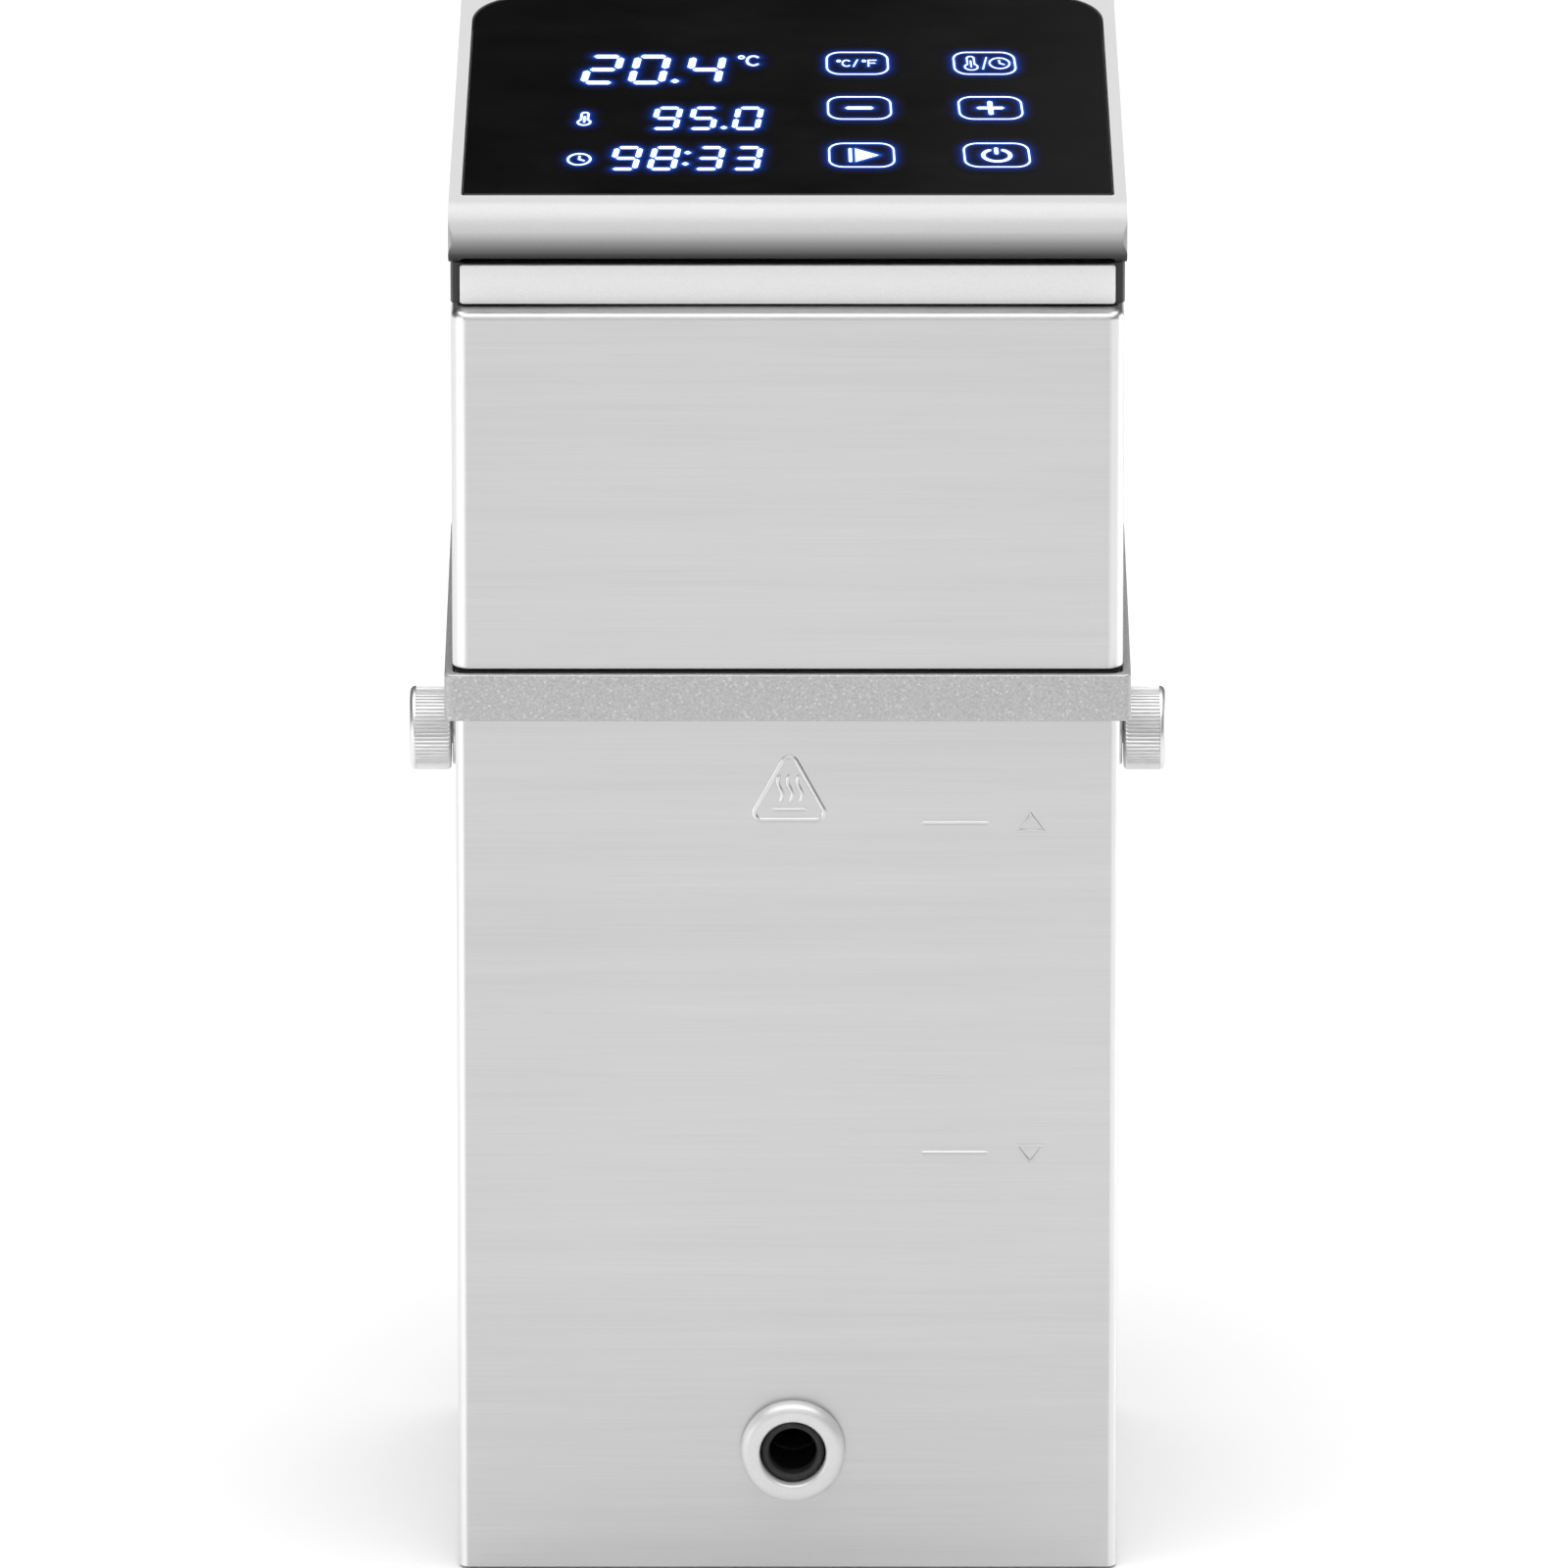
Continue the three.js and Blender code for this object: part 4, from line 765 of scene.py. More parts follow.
def pump_column(low, high):
    flange, tube, bore, fillet, edge = high.x, 9.0, 6.5, 1.5, 0.5
    under = high.z - 3.0
    return [
        (bore, low.z),
        (tube - 0.4, low.z),
        (tube, low.z + 0.4),
        *[(tube + fillet - r, h) for r, h in arc(0, under - fillet, fillet, 0, 90, 6)],
        (flange - edge, under),
        (flange, under + edge),
        (flange, high.z),
        (bore, high.z),
    ]


def drive_shaft(low, high):
    radius, chamfer = high.x, 0.4
    foot = [(0, low.z), (radius - chamfer, low.z), (radius, low.z + chamfer)]
    return [*foot, *rod_end(radius, high.z, chamfer)]


def probe(low, high):
    """A rod with a round tip."""
    radius = (high.x - low.x) / 2
    tip = arc(0, low.z + radius, radius, 270, 360, 8)
    return [(0, low.z), *tip[1:], *rod_end(radius, high.z, 0.3)]


def make_pump():
    low, high = box("pump_housing")
    radius, cavity, roof, shaft_bore, shoulder, edge = high.x, 19.0, 31.5, 4.0, 1.6, 0.5
    profile = [
        (cavity, low.z),
        (radius - edge, low.z),
        (radius, low.z + edge),
        *arc(radius - shoulder, high.z - shoulder, shoulder, 0, 90, 8),
        (shaft_bore, high.z),
        (shaft_bore, roof),
        (cavity, roof),
    ]
    housing = lathe("pump_housing_detail", profile, closed=True)
    x, _, z = middle("outlet_ring")
    outlet = facing_front(x, z)
    join(housing, prism("boss", circle(0, 0, 9, 64), 14, -low.y, outlet))
    cut(housing, prism("boss_bore", circle(0, 0, 6, 64), 10, 40, outlet))
    round_edges(housing, 0.4, 2, 60)
    stand_in(housing, PUMP_METAL, "pump_housing")
    turned_node("pump_lid", pump_lid, PUMP_METAL)
    turned_node("pump_column", pump_column, PUMP_METAL)
    turned_node("drive_shaft", drive_shaft, HARDWARE, 48)
    refined("impeller", FAN_BLACK, 0.25)
    refined("shaft_bush", BRASS, 0.3)
    refined("shaft_seal", RUBBER, 0.4)
    refined("motor_body", MOTOR_PAINT, 0.4)
    for node in ("temperature_probe", "level_probe"):
        turned_node(node, probe, PUMP_METAL, 40)


def make_heater():
    """The CAD tube made round: its facets become quads and are subdivided."""
    coil = cad_copy("heater_coil", 1, quads=True)
    modifier = coil.modifiers.new("round", "SUBSURF")
    modifier.levels = modifier.render_levels = 2
    apply_modifiers(coil)
    stand_in(coil, HEATER_METAL, "heater_coil", angle=60)


def make_wet_end():
    make_pump()
    make_heater()


# ---------- deck, collar and thumb screws


BOLT_HOLE = 1.8  # radius


def bolt_places():
    """Where the two bracket bolts are, as (x, z)."""
    return [middle(f"bracket_bolt_{side}")[::2] for side in ("left", "right")]


def make_collar():
    low, high = box("collar")
    wall, edge, inner_edge = 1.7, 1.5, 1.6
    collar = prism("collar_detail", centred(high.x, high.y, edge, 10), low.z, high.z)
    room = centred(high.x - wall, high.y - wall, inner_edge, 10)
    cut(collar, prism("room", room, low.z - 1, high.z + 1))
    round_edges(collar, 0.55, 3)
    for x, z in bolt_places():
        cut(collar, prism("hole", circle(0, 0, BOLT_HOLE, 32), -5, 5, facing_back(x, z, high.y)))
    stand_in(collar, CAST, "collar")


def make_thumb_knob(side, word):
    """A knurled knob with a rounded rim and a shallow dished face, on its stud."""
    node = f"thumb_knob_{word}"
    low, high = box(node)
    radius, length, rim, reach, stud = (high.z - low.z) / 2, 7.95, 1.1, 14.0, 3.0
    inner_face = high.x - length if side > 0 else low.x + length
    place = facing_side(side, 0, middle(node)[2], inner_face)
    teeth, per_tooth, groove = 66, 6, 0.3

    def ring(height, base, depth):
        phases = [(i % per_tooth) / per_tooth for i in range(teeth * per_tooth)]
        crests = [min(1.0, 1.6 * (1 - abs(2 * phase - 1))) for phase in phases]
        return polar([base - depth * (1 - crest) for crest in crests], height)

    rings = [
        ring(-reach, stud - 0.4, 0),
        ring(0.4 - reach, stud, 0),
        ring(0, stud, 0),
        ring(0, radius - 0.5, 0),
        ring(0.35, radius - 0.12, 0),
        ring(0.8, radius, groove),
        ring(length - rim - 0.1, radius, groove),
        *[ring(h, r, 0) for r, h in arc(radius - rim, length - rim, rim, 0, 90, 8)],
        ring(length, radius - rim - 0.9, 0),
        ring(length - 0.35, radius - rim - 1.2, 0),
        ring(length - 0.5, 1.6, 0),
        ring(length - 0.5, 0.4, 0),
    ]
    stand_in(skin(f"{node}_detail", rings, place), KNOB_METAL, node, angle=24)


def make_washer(side, word):
    node = f"thumb_washer_{word}"
    low, high = box(node)
    radius, thick, bore, edge = (high.z - low.z) / 2, high.x - low.x, 3.3, 0.15
    profile = [
        (bore, 0),
        (radius - edge, 0),
        (radius, edge),
        (radius, thick - edge),
        (radius - edge, thick),
        (bore, thick),
    ]
    place = facing_side(side, 0, middle(node)[2], low.x if side > 0 else high.x)
    stand_in(lathe(f"{node}_detail", profile, place, 64, closed=True), HARDWARE, node)


def make_deck_area():
    make_collar()
    refined("deck", DECK_METAL, 0.4)
    refined("deck_gasket", RUBBER, 0.08, 1)
    for side, word in ((-1, "left"), (1, "right")):
        make_thumb_knob(side, word)
        make_washer(side, word)
        refined(f"stud_nut_{word}", BRASS, 0.4)
        refined(f"heater_nut_{word}", BRASS, 0.4)


# ---------- upper housing


def make_upper_shell():
    low, high = box("upper_shell")
    half_x, half_y, wall, edge, ledge, fold, rim = high.x, high.y, 1.2, 3.4, 7.3, 0.5, 1.5
    rings = []
    for inset, z in (
        *[(fold - fold * math.cos(a), low.z + fold - fold * math.sin(a)) for a in reversed(quarter(4))],
        *[(rim - rim * math.cos(a), high.z - rim + rim * math.sin(a)) for a in quarter()],
    ):
        outline = centred(half_x - inset, half_y - inset, edge - inset, 12)
        rings.append([(x, y, z) for x, y in outline])
    shell = skin("upper_shell_detail", rings)
    room = centred(half_x - wall, half_y - wall, edge - wall, 6)
    opening = centred(half_x - ledge, half_y - ledge, 3, 6)
    rear = facing_back(0, 0, half_y - 3)
    inlet_z, socket_x, socket_z = middle("inlet_shell")[2], 13.8, 9.8
    socket = rounded(-socket_x, socket_x, inlet_z - socket_z, inlet_z + socket_z, 0.8, 3)
    cut(
        shell,
        prism("room", room, low.z - 1, high.z - wall),
        prism("opening", opening, high.z - 5, high.z + 1),
        prism("socket", socket, 0, 5, rear),
    )
    half, pitch, each_side, top, height = 1.3, 6.0, 7, high.z - 7, 28.0
    for x in (i * pitch for i in range(-each_side, each_side + 1)):
        slot = rounded(x - half, x + half, top - height, top, half - 0.01, 8)
        cut(shell, prism("vent", slot, 0, 5, rear))
    for x in (-20, 20):
        cut(shell, prism("screw_hole", circle(x, inlet_z, 1.8, 24), 0, 5, rear))
    stand_in(shell, SHELL_STEEL, "upper_shell", angle=28)


def quarter(steps=8):
    """Angles over a quarter turn."""
    return [math.pi / 2 * i / steps for i in range(steps + 1)]


def pan_head_screw(node, place, head, height, length, recess):
    """A domed screw with its head above local Z 0."""
    shank, dome = 1.5, height * 0.55
    profile = [
        (0, -length),
        (shank - 0.3, -length),
        (shank, 0.3 - length),
        (shank, 0),
        (head - 0.1, 0),
        (head, 0.15),
        *arc(head - dome, height * 0.45, dome, 0, 90, 6),
        (0, height),
    ]
    screw = lathe(f"{node}_detail", profile, place, 48)
    cut(screw, recess)
    stand_in(screw, HARDWARE, node)


def make_inlet():
    refined("inlet_shell", SOCKET_BLACK, 0.35)
    for pin in ("live", "neutral", "earth"):
        refined(f"inlet_pin_{pin}", BRASS, 0.3)
    head, height, length = 2.8, 1.8, 8
    for node in ("inlet_screw_left", "inlet_screw_right"):
        x, _, z = middle(node)
        rear = box(node)[1].y
        recess = cross_recess(facing_back(x, z, rear), 1.5, 1.0)
        pan_head_screw(node, facing_back(x, z, rear - height), head, height, length, recess)


def make_inside():
    refined("fan_frame", FAN_BLACK, 0.4)
    refined("fan_rotor", FAN_BLACK, 0.3)
    refined("main_board", BOARD, 0.2)
    refined("display_board", BOARD, 0.2)
    refined("led_display", MODULE, 0.3)
    refined("transformer", MOTOR_PAINT, 0.3)
    refined("heat_sink", SINK_METAL, 0.2)
    for node in [n for n in SLOT_OF if n.startswith("pillar")]:
        refined(node, BRASS, 0.3)


# ---------- neck and head


def make_neck():
    refined("neck_frame", NECK_BLACK, 0.35)
    low, high = box("neck_band")
    outline = rounded(low.x, high.x, low.z, high.z, 0.6, 5)
    band = prism("neck_band_detail", outline, 0, high.y - low.y, facing_front(0, 0, high.y))
    round_edges(band, 0.25, 3)
    stand_in(band, BRIGHT, "neck_band")


SLOPE = math.radians(12)
NOSE, REAR_ROLL, TAPER, REAR_CORNER = 6.0, 8.0, 1.8, 12.0


def head_places():
    """Half width, half depth, bottom, nose centre, panel start, panel length and rear roll centre."""
    low, high = box("head_cover")
    half_depth, bottom = high.y, low.z
    nose = (-half_depth + NOSE, bottom + NOSE)
    start = (nose[0] - NOSE * math.sin(SLOPE), nose[1] + NOSE * math.cos(SLOPE))
    rear_y = half_depth - REAR_ROLL
    end_y = rear_y - REAR_ROLL * math.sin(SLOPE)
    length = (end_y - start[0]) / math.cos(SLOPE)
    rear_z = start[1] + length * math.sin(SLOPE) - REAR_ROLL * math.cos(SLOPE)
    return high.x, half_depth, bottom, nose, start, length, (rear_y, rear_z)


def head_side(inset, roof):
    """The head from the side, as (y, z). With an inset it is the hollow inside."""
    _, half_depth, bottom, nose, _, _, rear = head_places()
    if not inset:
        return [
            *arc(*nose, NOSE, 262, 102, 28),
            *arc(*rear, REAR_ROLL, 102, 0, 20),
            (half_depth, bottom + 0.8),
            (half_depth - 0.8, bottom),
        ]
    drop = roof - inset
    front = arc(*nose, NOSE - inset, 180, 102, 8)
    back = arc(*rear, REAR_ROLL - inset, 102, 0, 8)
    return [
        (nose[0] - NOSE + inset, bottom - 1),
        *[(y, z - drop * max(0.0, (z - nose[1]) / (NOSE - inset))) for y, z in front],
        *[(y, z - drop) for y, z in back],
        (half_depth - inset, bottom - 1),
    ]


def tapered_outline(half_at, front, rear, corner, tip):
    """Sides that draw in towards the rear, with rounded rear corners and small front ones."""
    corner_x = half_at(rear - corner) - corner
    right = [
        *arc(half_at(front + tip) - tip, front + tip, tip, -90, 0, 5),
        *arc(corner_x, rear - corner, corner, 0, 90, 16),
    ]
    return [*right, *[(-x, y) for x, y in reversed(right)]]


def head_plan(inset):
    half_width, half_depth, *_ = head_places()

    def half_at(y):
        return half_width - inset - TAPER * (y + half_depth) / (2 * half_depth)

    return tapered_outline(half_at, -half_depth + inset, half_depth - inset, REAR_CORNER - inset, 1.2)


def glass_plan(grow):
    half_width, half_depth, _, _, start, length, _ = head_places()
    rim, front_rim, rear_rim, corner = 2.6, 2.7, 1.3, 9.5

    def half_at(along):
        y = start[0] + along * math.cos(SLOPE)
        return half_width - rim - TAPER * (y + half_depth) / (2 * half_depth) + grow

    return tapered_outline(half_at, front_rim - grow, length - rear_rim + grow, corner + grow, 0.6)


def panel_place():
    start = head_places()[4]
    return axes((0, start[0], start[1]), (1, 0, 0), (0, math.cos(SLOPE), math.sin(SLOPE)))


def make_head():
    half_width, _, bottom, _, _, _, rear = head_places()
    top = rear[1] + REAR_ROLL
    sideways = axes((-half_width - 1, 0, 0), (0, 1, 0), (0, 0, 1))
    wide = 2 * half_width + 2
    head = prism("head_cover_detail", head_plan(0), bottom - 1, top + 1)
    combine(head, prism("side", head_side(0, 0), 0, wide, sideways), "INTERSECT")
    round_edges(head, 0.7, 3, 50)
    glass_thickness, wall, roof = 2.6, 2.0, 4.5
    room = prism("room", head_plan(wall), bottom - 2, top + 1)
    combine(room, prism("side", head_side(wall, roof), 0, wide, sideways), "INTERSECT")
    tilted = panel_place()
    cut(
        head,
        room,
        prism("pocket", glass_plan(0.3), -glass_thickness - 0.3, 5, tilted),
        prism("opening", glass_plan(-3), -roof - 12, 5, tilted),
    )
    stand_in(head, SILVER, "head_cover", angle=28)

    glass = prism("control_glass_detail", glass_plan(0), -glass_thickness, 0, tilted)
    round_edges(glass, 0.35, 3)
    stand_in(glass, GLASS, "control_glass")

# ---------- the lit legends under the glass

# Each stroke is (points, width, closed), in panel places: X across, and distance up the slope.
# The whole layout narrows a little towards the rear, as the head does.
LAYOUT_TAPER, LAYOUT_PIVOT = 0.0015, 46.0
SLANT = 0.097

SEGMENTS = {
    "0": "abcdef",
    "1": "bc",
    "2": "abged",
    "3": "abgcd",
    "4": "fgbc",
    "5": "afgcd",
    "6": "afgedc",
    "7": "abc",
    "8": "abcdefg",
    "9": "abfgcd",
}


def digit(value, x, y, w, h, width):
    """A slanted seven-segment digit centred on (x, y), w and h being half its size."""
    gap = width * 0.72
    ends = {
        "a": ((-w, h), (w, h)),
        "b": ((w, h), (w, 0)),
        "c": ((w, 0), (w, -h)),
        "d": ((-w, -h), (w, -h)),
        "e": ((-w, 0), (-w, -h)),
        "f": ((-w, h), (-w, 0)),
        "g": ((-w, 0), (w, 0)),
    }
    strokes = []
    for name in SEGMENTS[value]:
        (x0, y0), (x1, y1) = ends[name]
        ux, uy = unit(x1 - x0, y1 - y0)
        pair = ((x0 + ux * gap, y0 + uy * gap), (x1 - ux * gap, y1 - uy * gap))
        strokes.append(([(x + px + SLANT * py, y + py) for px, py in pair], width, False))
    return strokes


def dot(x, y, size):
    return line(x - size * 0.12, y, x + size * 0.12, y, size)


def line(x0, y0, x1, y1, width):
    return [([(x0, y0), (x1, y1)], width, False)]


def oval(x, y, rx, ry, start, end, width, steps=18):
    points = [
        (x + rx * math.cos(math.radians(a)), y + ry * math.sin(math.radians(a)))
        for a in np.linspace(start, end, steps + 1)
    ]
    whole = abs(end - start) >= 360
    return [(points[:-1] if whole else points, width, whole)]


def degree(x, y, size, width):
    return oval(x - size * 1.25, y + size * 0.75, size * 0.27, size * 0.3, 0, 360, width * 0.75, 12)


def celsius(x, y, size, width):
    return [*degree(x, y, size, width), *oval(x, y, size * 0.66, size, 45, 315, width)]


def fahrenheit(x, y, size, width):
    """A degree ring and an F."""
    left = x - size * 0.5
    return [
        *oval(x - size * 1.2, y + size * 0.75, size * 0.26, size * 0.3, 0, 360, width * 0.75, 12),
        ([(left, y - size), (left, y + size), (x + size * 0.75, y + size)], width, False),
        *line(left + width, y + size * 0.05, x + size * 0.55, y + size * 0.05, width),
    ]


def thermometer(x, y, size, width):
    bulb, stem = size * 0.46, size * 0.25
    neck = math.degrees(math.acos(stem / bulb))
    outline = [
        *arc(x, y - size + bulb, bulb, neck, -180 - neck, 16),
        *arc(x, y + size - stem, stem, 180, 0, 8),
    ]
    return [(outline, width, True), *line(x, y - size + bulb, x, y + size * 0.35, width)]


def clock(x, y, size, width):
    return [
        *oval(x, y, size * 0.92, size, 0, 360, width, 28),
        ([(x, y + size * 0.58), (x, y), (x + size * 0.42, y - size * 0.25)], width, False),
    ]


def key_outline(x, y, half_width, half_height, width):
    return [(rounded(x - half_width, x + half_width, y - half_height, y + half_height, 2.6, 6), width, True)]


def readouts():
    """Three rows of digits with their dots, the thermometer and the clock."""
    strokes = []
    for values, places, y, half_width, half_height, width in (
        ("204", (-35.4, -26.4, -15.75), 52.07, 2.85, 5.2, 1.35),
        ("950", (-22.4, -15.6, -7.37), 32.7, 2.1, 4.08, 1.02),
        ("9833", (-29.2, -22.3, -14.2, -7.36), 16.9, 2.1, 4.22, 1.05),
    ):
        for value, x in zip(values, places):
            strokes += digit(value, x, y, half_width, half_height, width)
    for x, y, size in ((-21.4, 47.5, 1.5), (-11.75, 29.0, 1.2), (-18.1, 19.1, 1.2), (-18.4, 14.7, 1.2)):
        strokes += dot(x, y, size)
    strokes += celsius(-6.6, 55.6, 1.85, 0.5)
    strokes += thermometer(-37.6, 32.5, 2.5, 0.42)
    strokes += clock(-37.6, 16.5, 2.2, 0.42)
    return strokes


KEY_COLUMNS = (13.37, 37.8)
KEY_ROWS = (54.6, 36.8, 18.15)


def keys():
    """Six outlined keys: units, which readout, less, more, start and power."""
    strokes = []
    for x in KEY_COLUMNS:
        for y, half_height in zip(KEY_ROWS, (4.35, 4.4, 4.65)):
            strokes += key_outline(x, y, 5.85, half_height, 0.34)
    (left, right), (top, middle_row, bottom) = KEY_COLUMNS, KEY_ROWS
    thin, bold, power = 0.28, 0.95, 0.75
    strokes += celsius(left - 2.05, top, 1.2, 0.3)
    strokes += line(left - 0.75, top - 1.3, left + 0.05, top + 1.4, thin)
    strokes += fahrenheit(left + 2.75, top, 1.2, 0.3)
    strokes += thermometer(right - 2.6, top, 2.7, 0.3)
    strokes += line(right - 0.4, top - 2.3, right + 0.5, top + 2.3, thin)
    strokes += clock(right + 2.9, top, 2.1, 0.3)
    strokes += line(left - 2.2, middle_row, left + 2.2, middle_row, 1.1)
    strokes += line(right - 2.2, middle_row, right + 2.2, middle_row, bold)
    strokes += line(right, middle_row - 2.35, right, middle_row - 0.6, bold)
    strokes += line(right, middle_row + 0.6, right, middle_row + 2.35, bold)
    strokes += line(left - 2.05, bottom - 2.5, left - 2.05, bottom + 2.5, 0.62)
    strokes += oval(right, bottom - 0.1, 2.45, 2.35, 118, 422, power, 26)
    strokes += line(right, bottom + 0.6, right, bottom + 2.7, power)
    return strokes


def solid_triangle(x, y):
    """The filled arrow of the start key."""
    return [(x - 1.15, y - 2.6), (x + 3.1, y), (x - 1.15, y + 2.6)]


def tapered(points):
    return [(x * (1 + LAYOUT_TAPER * (LAYOUT_PIVOT - y)), y) for x, y in points]


def ribbon(points, width, closed):
    """The two sides of a stroke, as pairs of points."""
    last = len(points) - 1
    pairs = []
    for i, (x, y) in enumerate(points):
        x0, y0 = points[i - 1] if i or closed else points[i]
        x1, y1 = points[(i + 1) % len(points)] if i < last or closed else points[i]
        ux, uy = unit(x - x0, y - y0) if (i or closed) else unit(x1 - x, y1 - y)
        vx, vy = unit(x1 - x, y1 - y) if (i < last or closed) else (ux, uy)
        nx, ny = unit(-(uy + vy), ux + vx)
        half = width / 2 / max(0.5, nx * -uy + ny * ux)
        pairs.append(((x + nx * half, y + ny * half), (x - nx * half, y - ny * half)))
    return pairs


def unit(x, y):
    length = math.hypot(x, y) or 1.0
    return x / length, y / length


def stroke_mesh(points, width, closed, low, high, place):
    """A stroke as a thin solid: a band, with a point at each open end."""
    pairs = ribbon(points, width, closed)
    if closed:
        rings = [[(*a, low), (*a, high), (*b, high), (*b, low)] for a, b in pairs]
        return skin("stroke", rings, place, closed=True)

    def tip(end, inner):
        ux, uy = unit(end[0] - inner[0], end[1] - inner[1])
        return (end[0] + ux * width * 0.42, end[1] + uy * width * 0.42)

    head, tail = tip(points[0], points[1]), tip(points[-1], points[-2])
    outline = [head, *[b for _, b in pairs], tail, *[a for a, _ in reversed(pairs)]]
    return prism("stroke", outline, low, high, place)


def glow_mesh(name, strokes, place):
    """A film over the glass whose "glow" falls off with the distance from the nearest stroke."""
    cell, reach, fade, brightest, lift = 0.32, 2.9, 0.75, 0.95, 0.02
    pieces = []
    for points, width, closed in strokes:
        after = [*points[1:], points[0]] if closed else points[1:]
        pieces += [(a, b, width / 2) for a, b in zip(points, after)]
    starts, ends, halves = (np.array(column) for column in zip(*pieces))
    low, high = starts.min(0) - reach - cell, starts.max(0) + reach + cell
    columns, rows = (int((high[k] - low[k]) / cell) + 2 for k in (0, 1))
    gx, gy = np.meshgrid(low[0] + cell * np.arange(columns), low[1] + cell * np.arange(rows))
    grid = np.stack([gx.ravel(), gy.ravel()], 1)
    nearest = np.full(len(grid), np.inf)
    for start, end, half in zip(starts, ends, halves):
        along = end - start
        share = np.clip(((grid - start) @ along) / max(float(along @ along), 1e-9), 0, 1)
        away = np.linalg.norm(grid - start - share[:, None] * along, axis=1)
        nearest = np.minimum(nearest, np.maximum(away - half, 0))
    glow = brightest * np.exp(-nearest / fade) * np.clip((reach - nearest) / reach, 0, 1)
    used = nearest < reach
    quads = []
    for i in (row * columns + column for row in range(rows - 1) for column in range(columns - 1)):
        quad = (i, i + 1, i + columns + 1, i + columns)
        if all(used[j] for j in quad):
            quads.append(quad)
    order = list(dict.fromkeys(j for quad in quads for j in quad))
    index = {j: i for i, j in enumerate(order)}
    film = mesh_object(
        name,
        [(grid[j][0], grid[j][1], lift) for j in order],
        [tuple(index[j] for j in quad) for quad in quads],
        place,
    )
    attribute = film.data.attributes.new("glow", "FLOAT", "POINT")
    attribute.data.foreach_set("value", glow[order].astype(np.float32))
    return film


def make_legends():
    place = panel_place()
    triangle = tapered(solid_triangle(KEY_COLUMNS[0], KEY_ROWS[2]))
    strokes = [(tapered(points), width, closed) for points, width, closed in readouts() + keys()]
    low, high, film_mm = -0.05, 0.05, 0.01
    solids = [stroke_mesh(*stroke, low, high, place) for stroke in strokes]
    solids.append(prism("start_arrow", triangle, low, high, place))
    make_one("legend_strokes", solids, lit_strokes("lit_legend"), "main_unit", 30)
    film = glow_mesh("legend_glow", [*strokes, (triangle, 0.6, True)], place)
    modifier = film.modifiers.new("film", "SOLIDIFY")
    modifier.thickness = film_mm * MM
    modifier.offset = -1
    apply_modifiers(film)
    added(film, glow_film("legend_glow"), "main_unit")


# ---------- pot clamp


SCREW_HOLE = 4.3  # radius


def make_bracket():
    low, high = box("clamp_bracket")
    jaw, bridge, leg, bend, half_width, half_ears, boss_length = 2.5, 4.5, 5.0, 4.0, 22.0, 35.0, 6.0
    jaw_front, top, bottom = low.y, high.z, low.z
    leg_rear = high.y - boss_length
    jaw_rear, leg_front, under = jaw_front + jaw, leg_rear - leg, top - bridge
    profile = [
        (jaw_front, bottom),
        (jaw_rear, bottom),
        *arc(jaw_rear + 2, under - 2, 2, 180, 90, 8),
        *arc(leg_front - 2, under - 2, 2, 90, 0, 8),
        (leg_front, bottom + 4),
        (leg_rear, bottom + 4),
        *arc(leg_rear - bend, top - bend, bend, 0, 90, 12),
        (jaw_front, top),
    ]
    sideways = axes((-half_width, 0, 0), (0, 1, 0), (0, 0, 1))
    bracket = prism("clamp_bracket_detail", profile, 0, 2 * half_width, sideways)
    ears = rounded(-half_ears, half_ears, box("collar")[0].z, top, 3, 8)
    join(bracket, prism("ears", ears, 0, jaw, facing_back(0, 0, jaw_front)))
    round_edges(bracket, 0.7, 3)
    boss = [(0, -3), (9.6, -3), (9.6, 1), (9, 1.8), (9, 5.4), (8.4, boss_length), (0, boss_length)]
    rear = facing_back(0, clamp_axis(), leg_rear)
    join(bracket, lathe("boss", boss, rear, 72))
    cut(bracket, prism("bore", circle(0, 0, SCREW_HOLE, 64), -8, 8, rear))
    for x, z in bolt_places():
        cut(bracket, prism("hole", circle(0, 0, BOLT_HOLE, 32), -4, 4, facing_back(x, z, jaw_rear)))
    stand_in(bracket, CAST, "clamp_bracket", angle=28)


def clamp_axis():
    return middle("clamp_screw")[2]


def make_jaw_pad():
    """A rubber pad with grooves across it."""
    low, high = box("jaw_pad")
    thick, count, half, depth = high.y - low.y, 9, 0.5, 0.6
    place = facing_back(0, 0, low.y)
    pad = prism("jaw_pad_detail", rounded(low.x, high.x, low.z, high.z, 3, 8), 0, thick, place)
    round_edges(pad, 0.4, 3)
    for i in range(count):
        z = low.z + (high.z - low.z) * (i + 1) / (count + 1)
        groove = rounded(low.x + 3, high.x - 3, z - half, z + half, 0.45, 4)
        cut(pad, prism("groove", groove, thick - depth, thick + 1, place))
    stand_in(pad, RUBBER, "jaw_pad")


def make_pressure_pad():
    """A round rubber pad with ring grooves, and a socket for the screw's end."""
    low, high = box("pressure_pad")
    radius, thick, socket, rim, depth = (high.x - low.x) / 2, high.y - low.y, 2.4, 1.2, 0.5
    grooves = []
    for r in (4.6, 7.4, 10.2):
        grooves += [(r - 0.5, 0), (r - 0.25, depth), (r + 0.25, depth), (r + 0.5, 0)]
    profile = [
        (0, 0),
        *grooves,
        *arc(radius - rim, rim, rim, 270, 360, 6),
        *arc(radius - rim, thick - rim, rim, 0, 90, 6),
        (SCREW_HOLE, thick),
        (SCREW_HOLE, socket),
        (0, socket),
    ]
    pad = lathe("pressure_pad_detail", profile, facing_back(0, clamp_axis(), low.y))
    stand_in(pad, RUBBER, "pressure_pad")


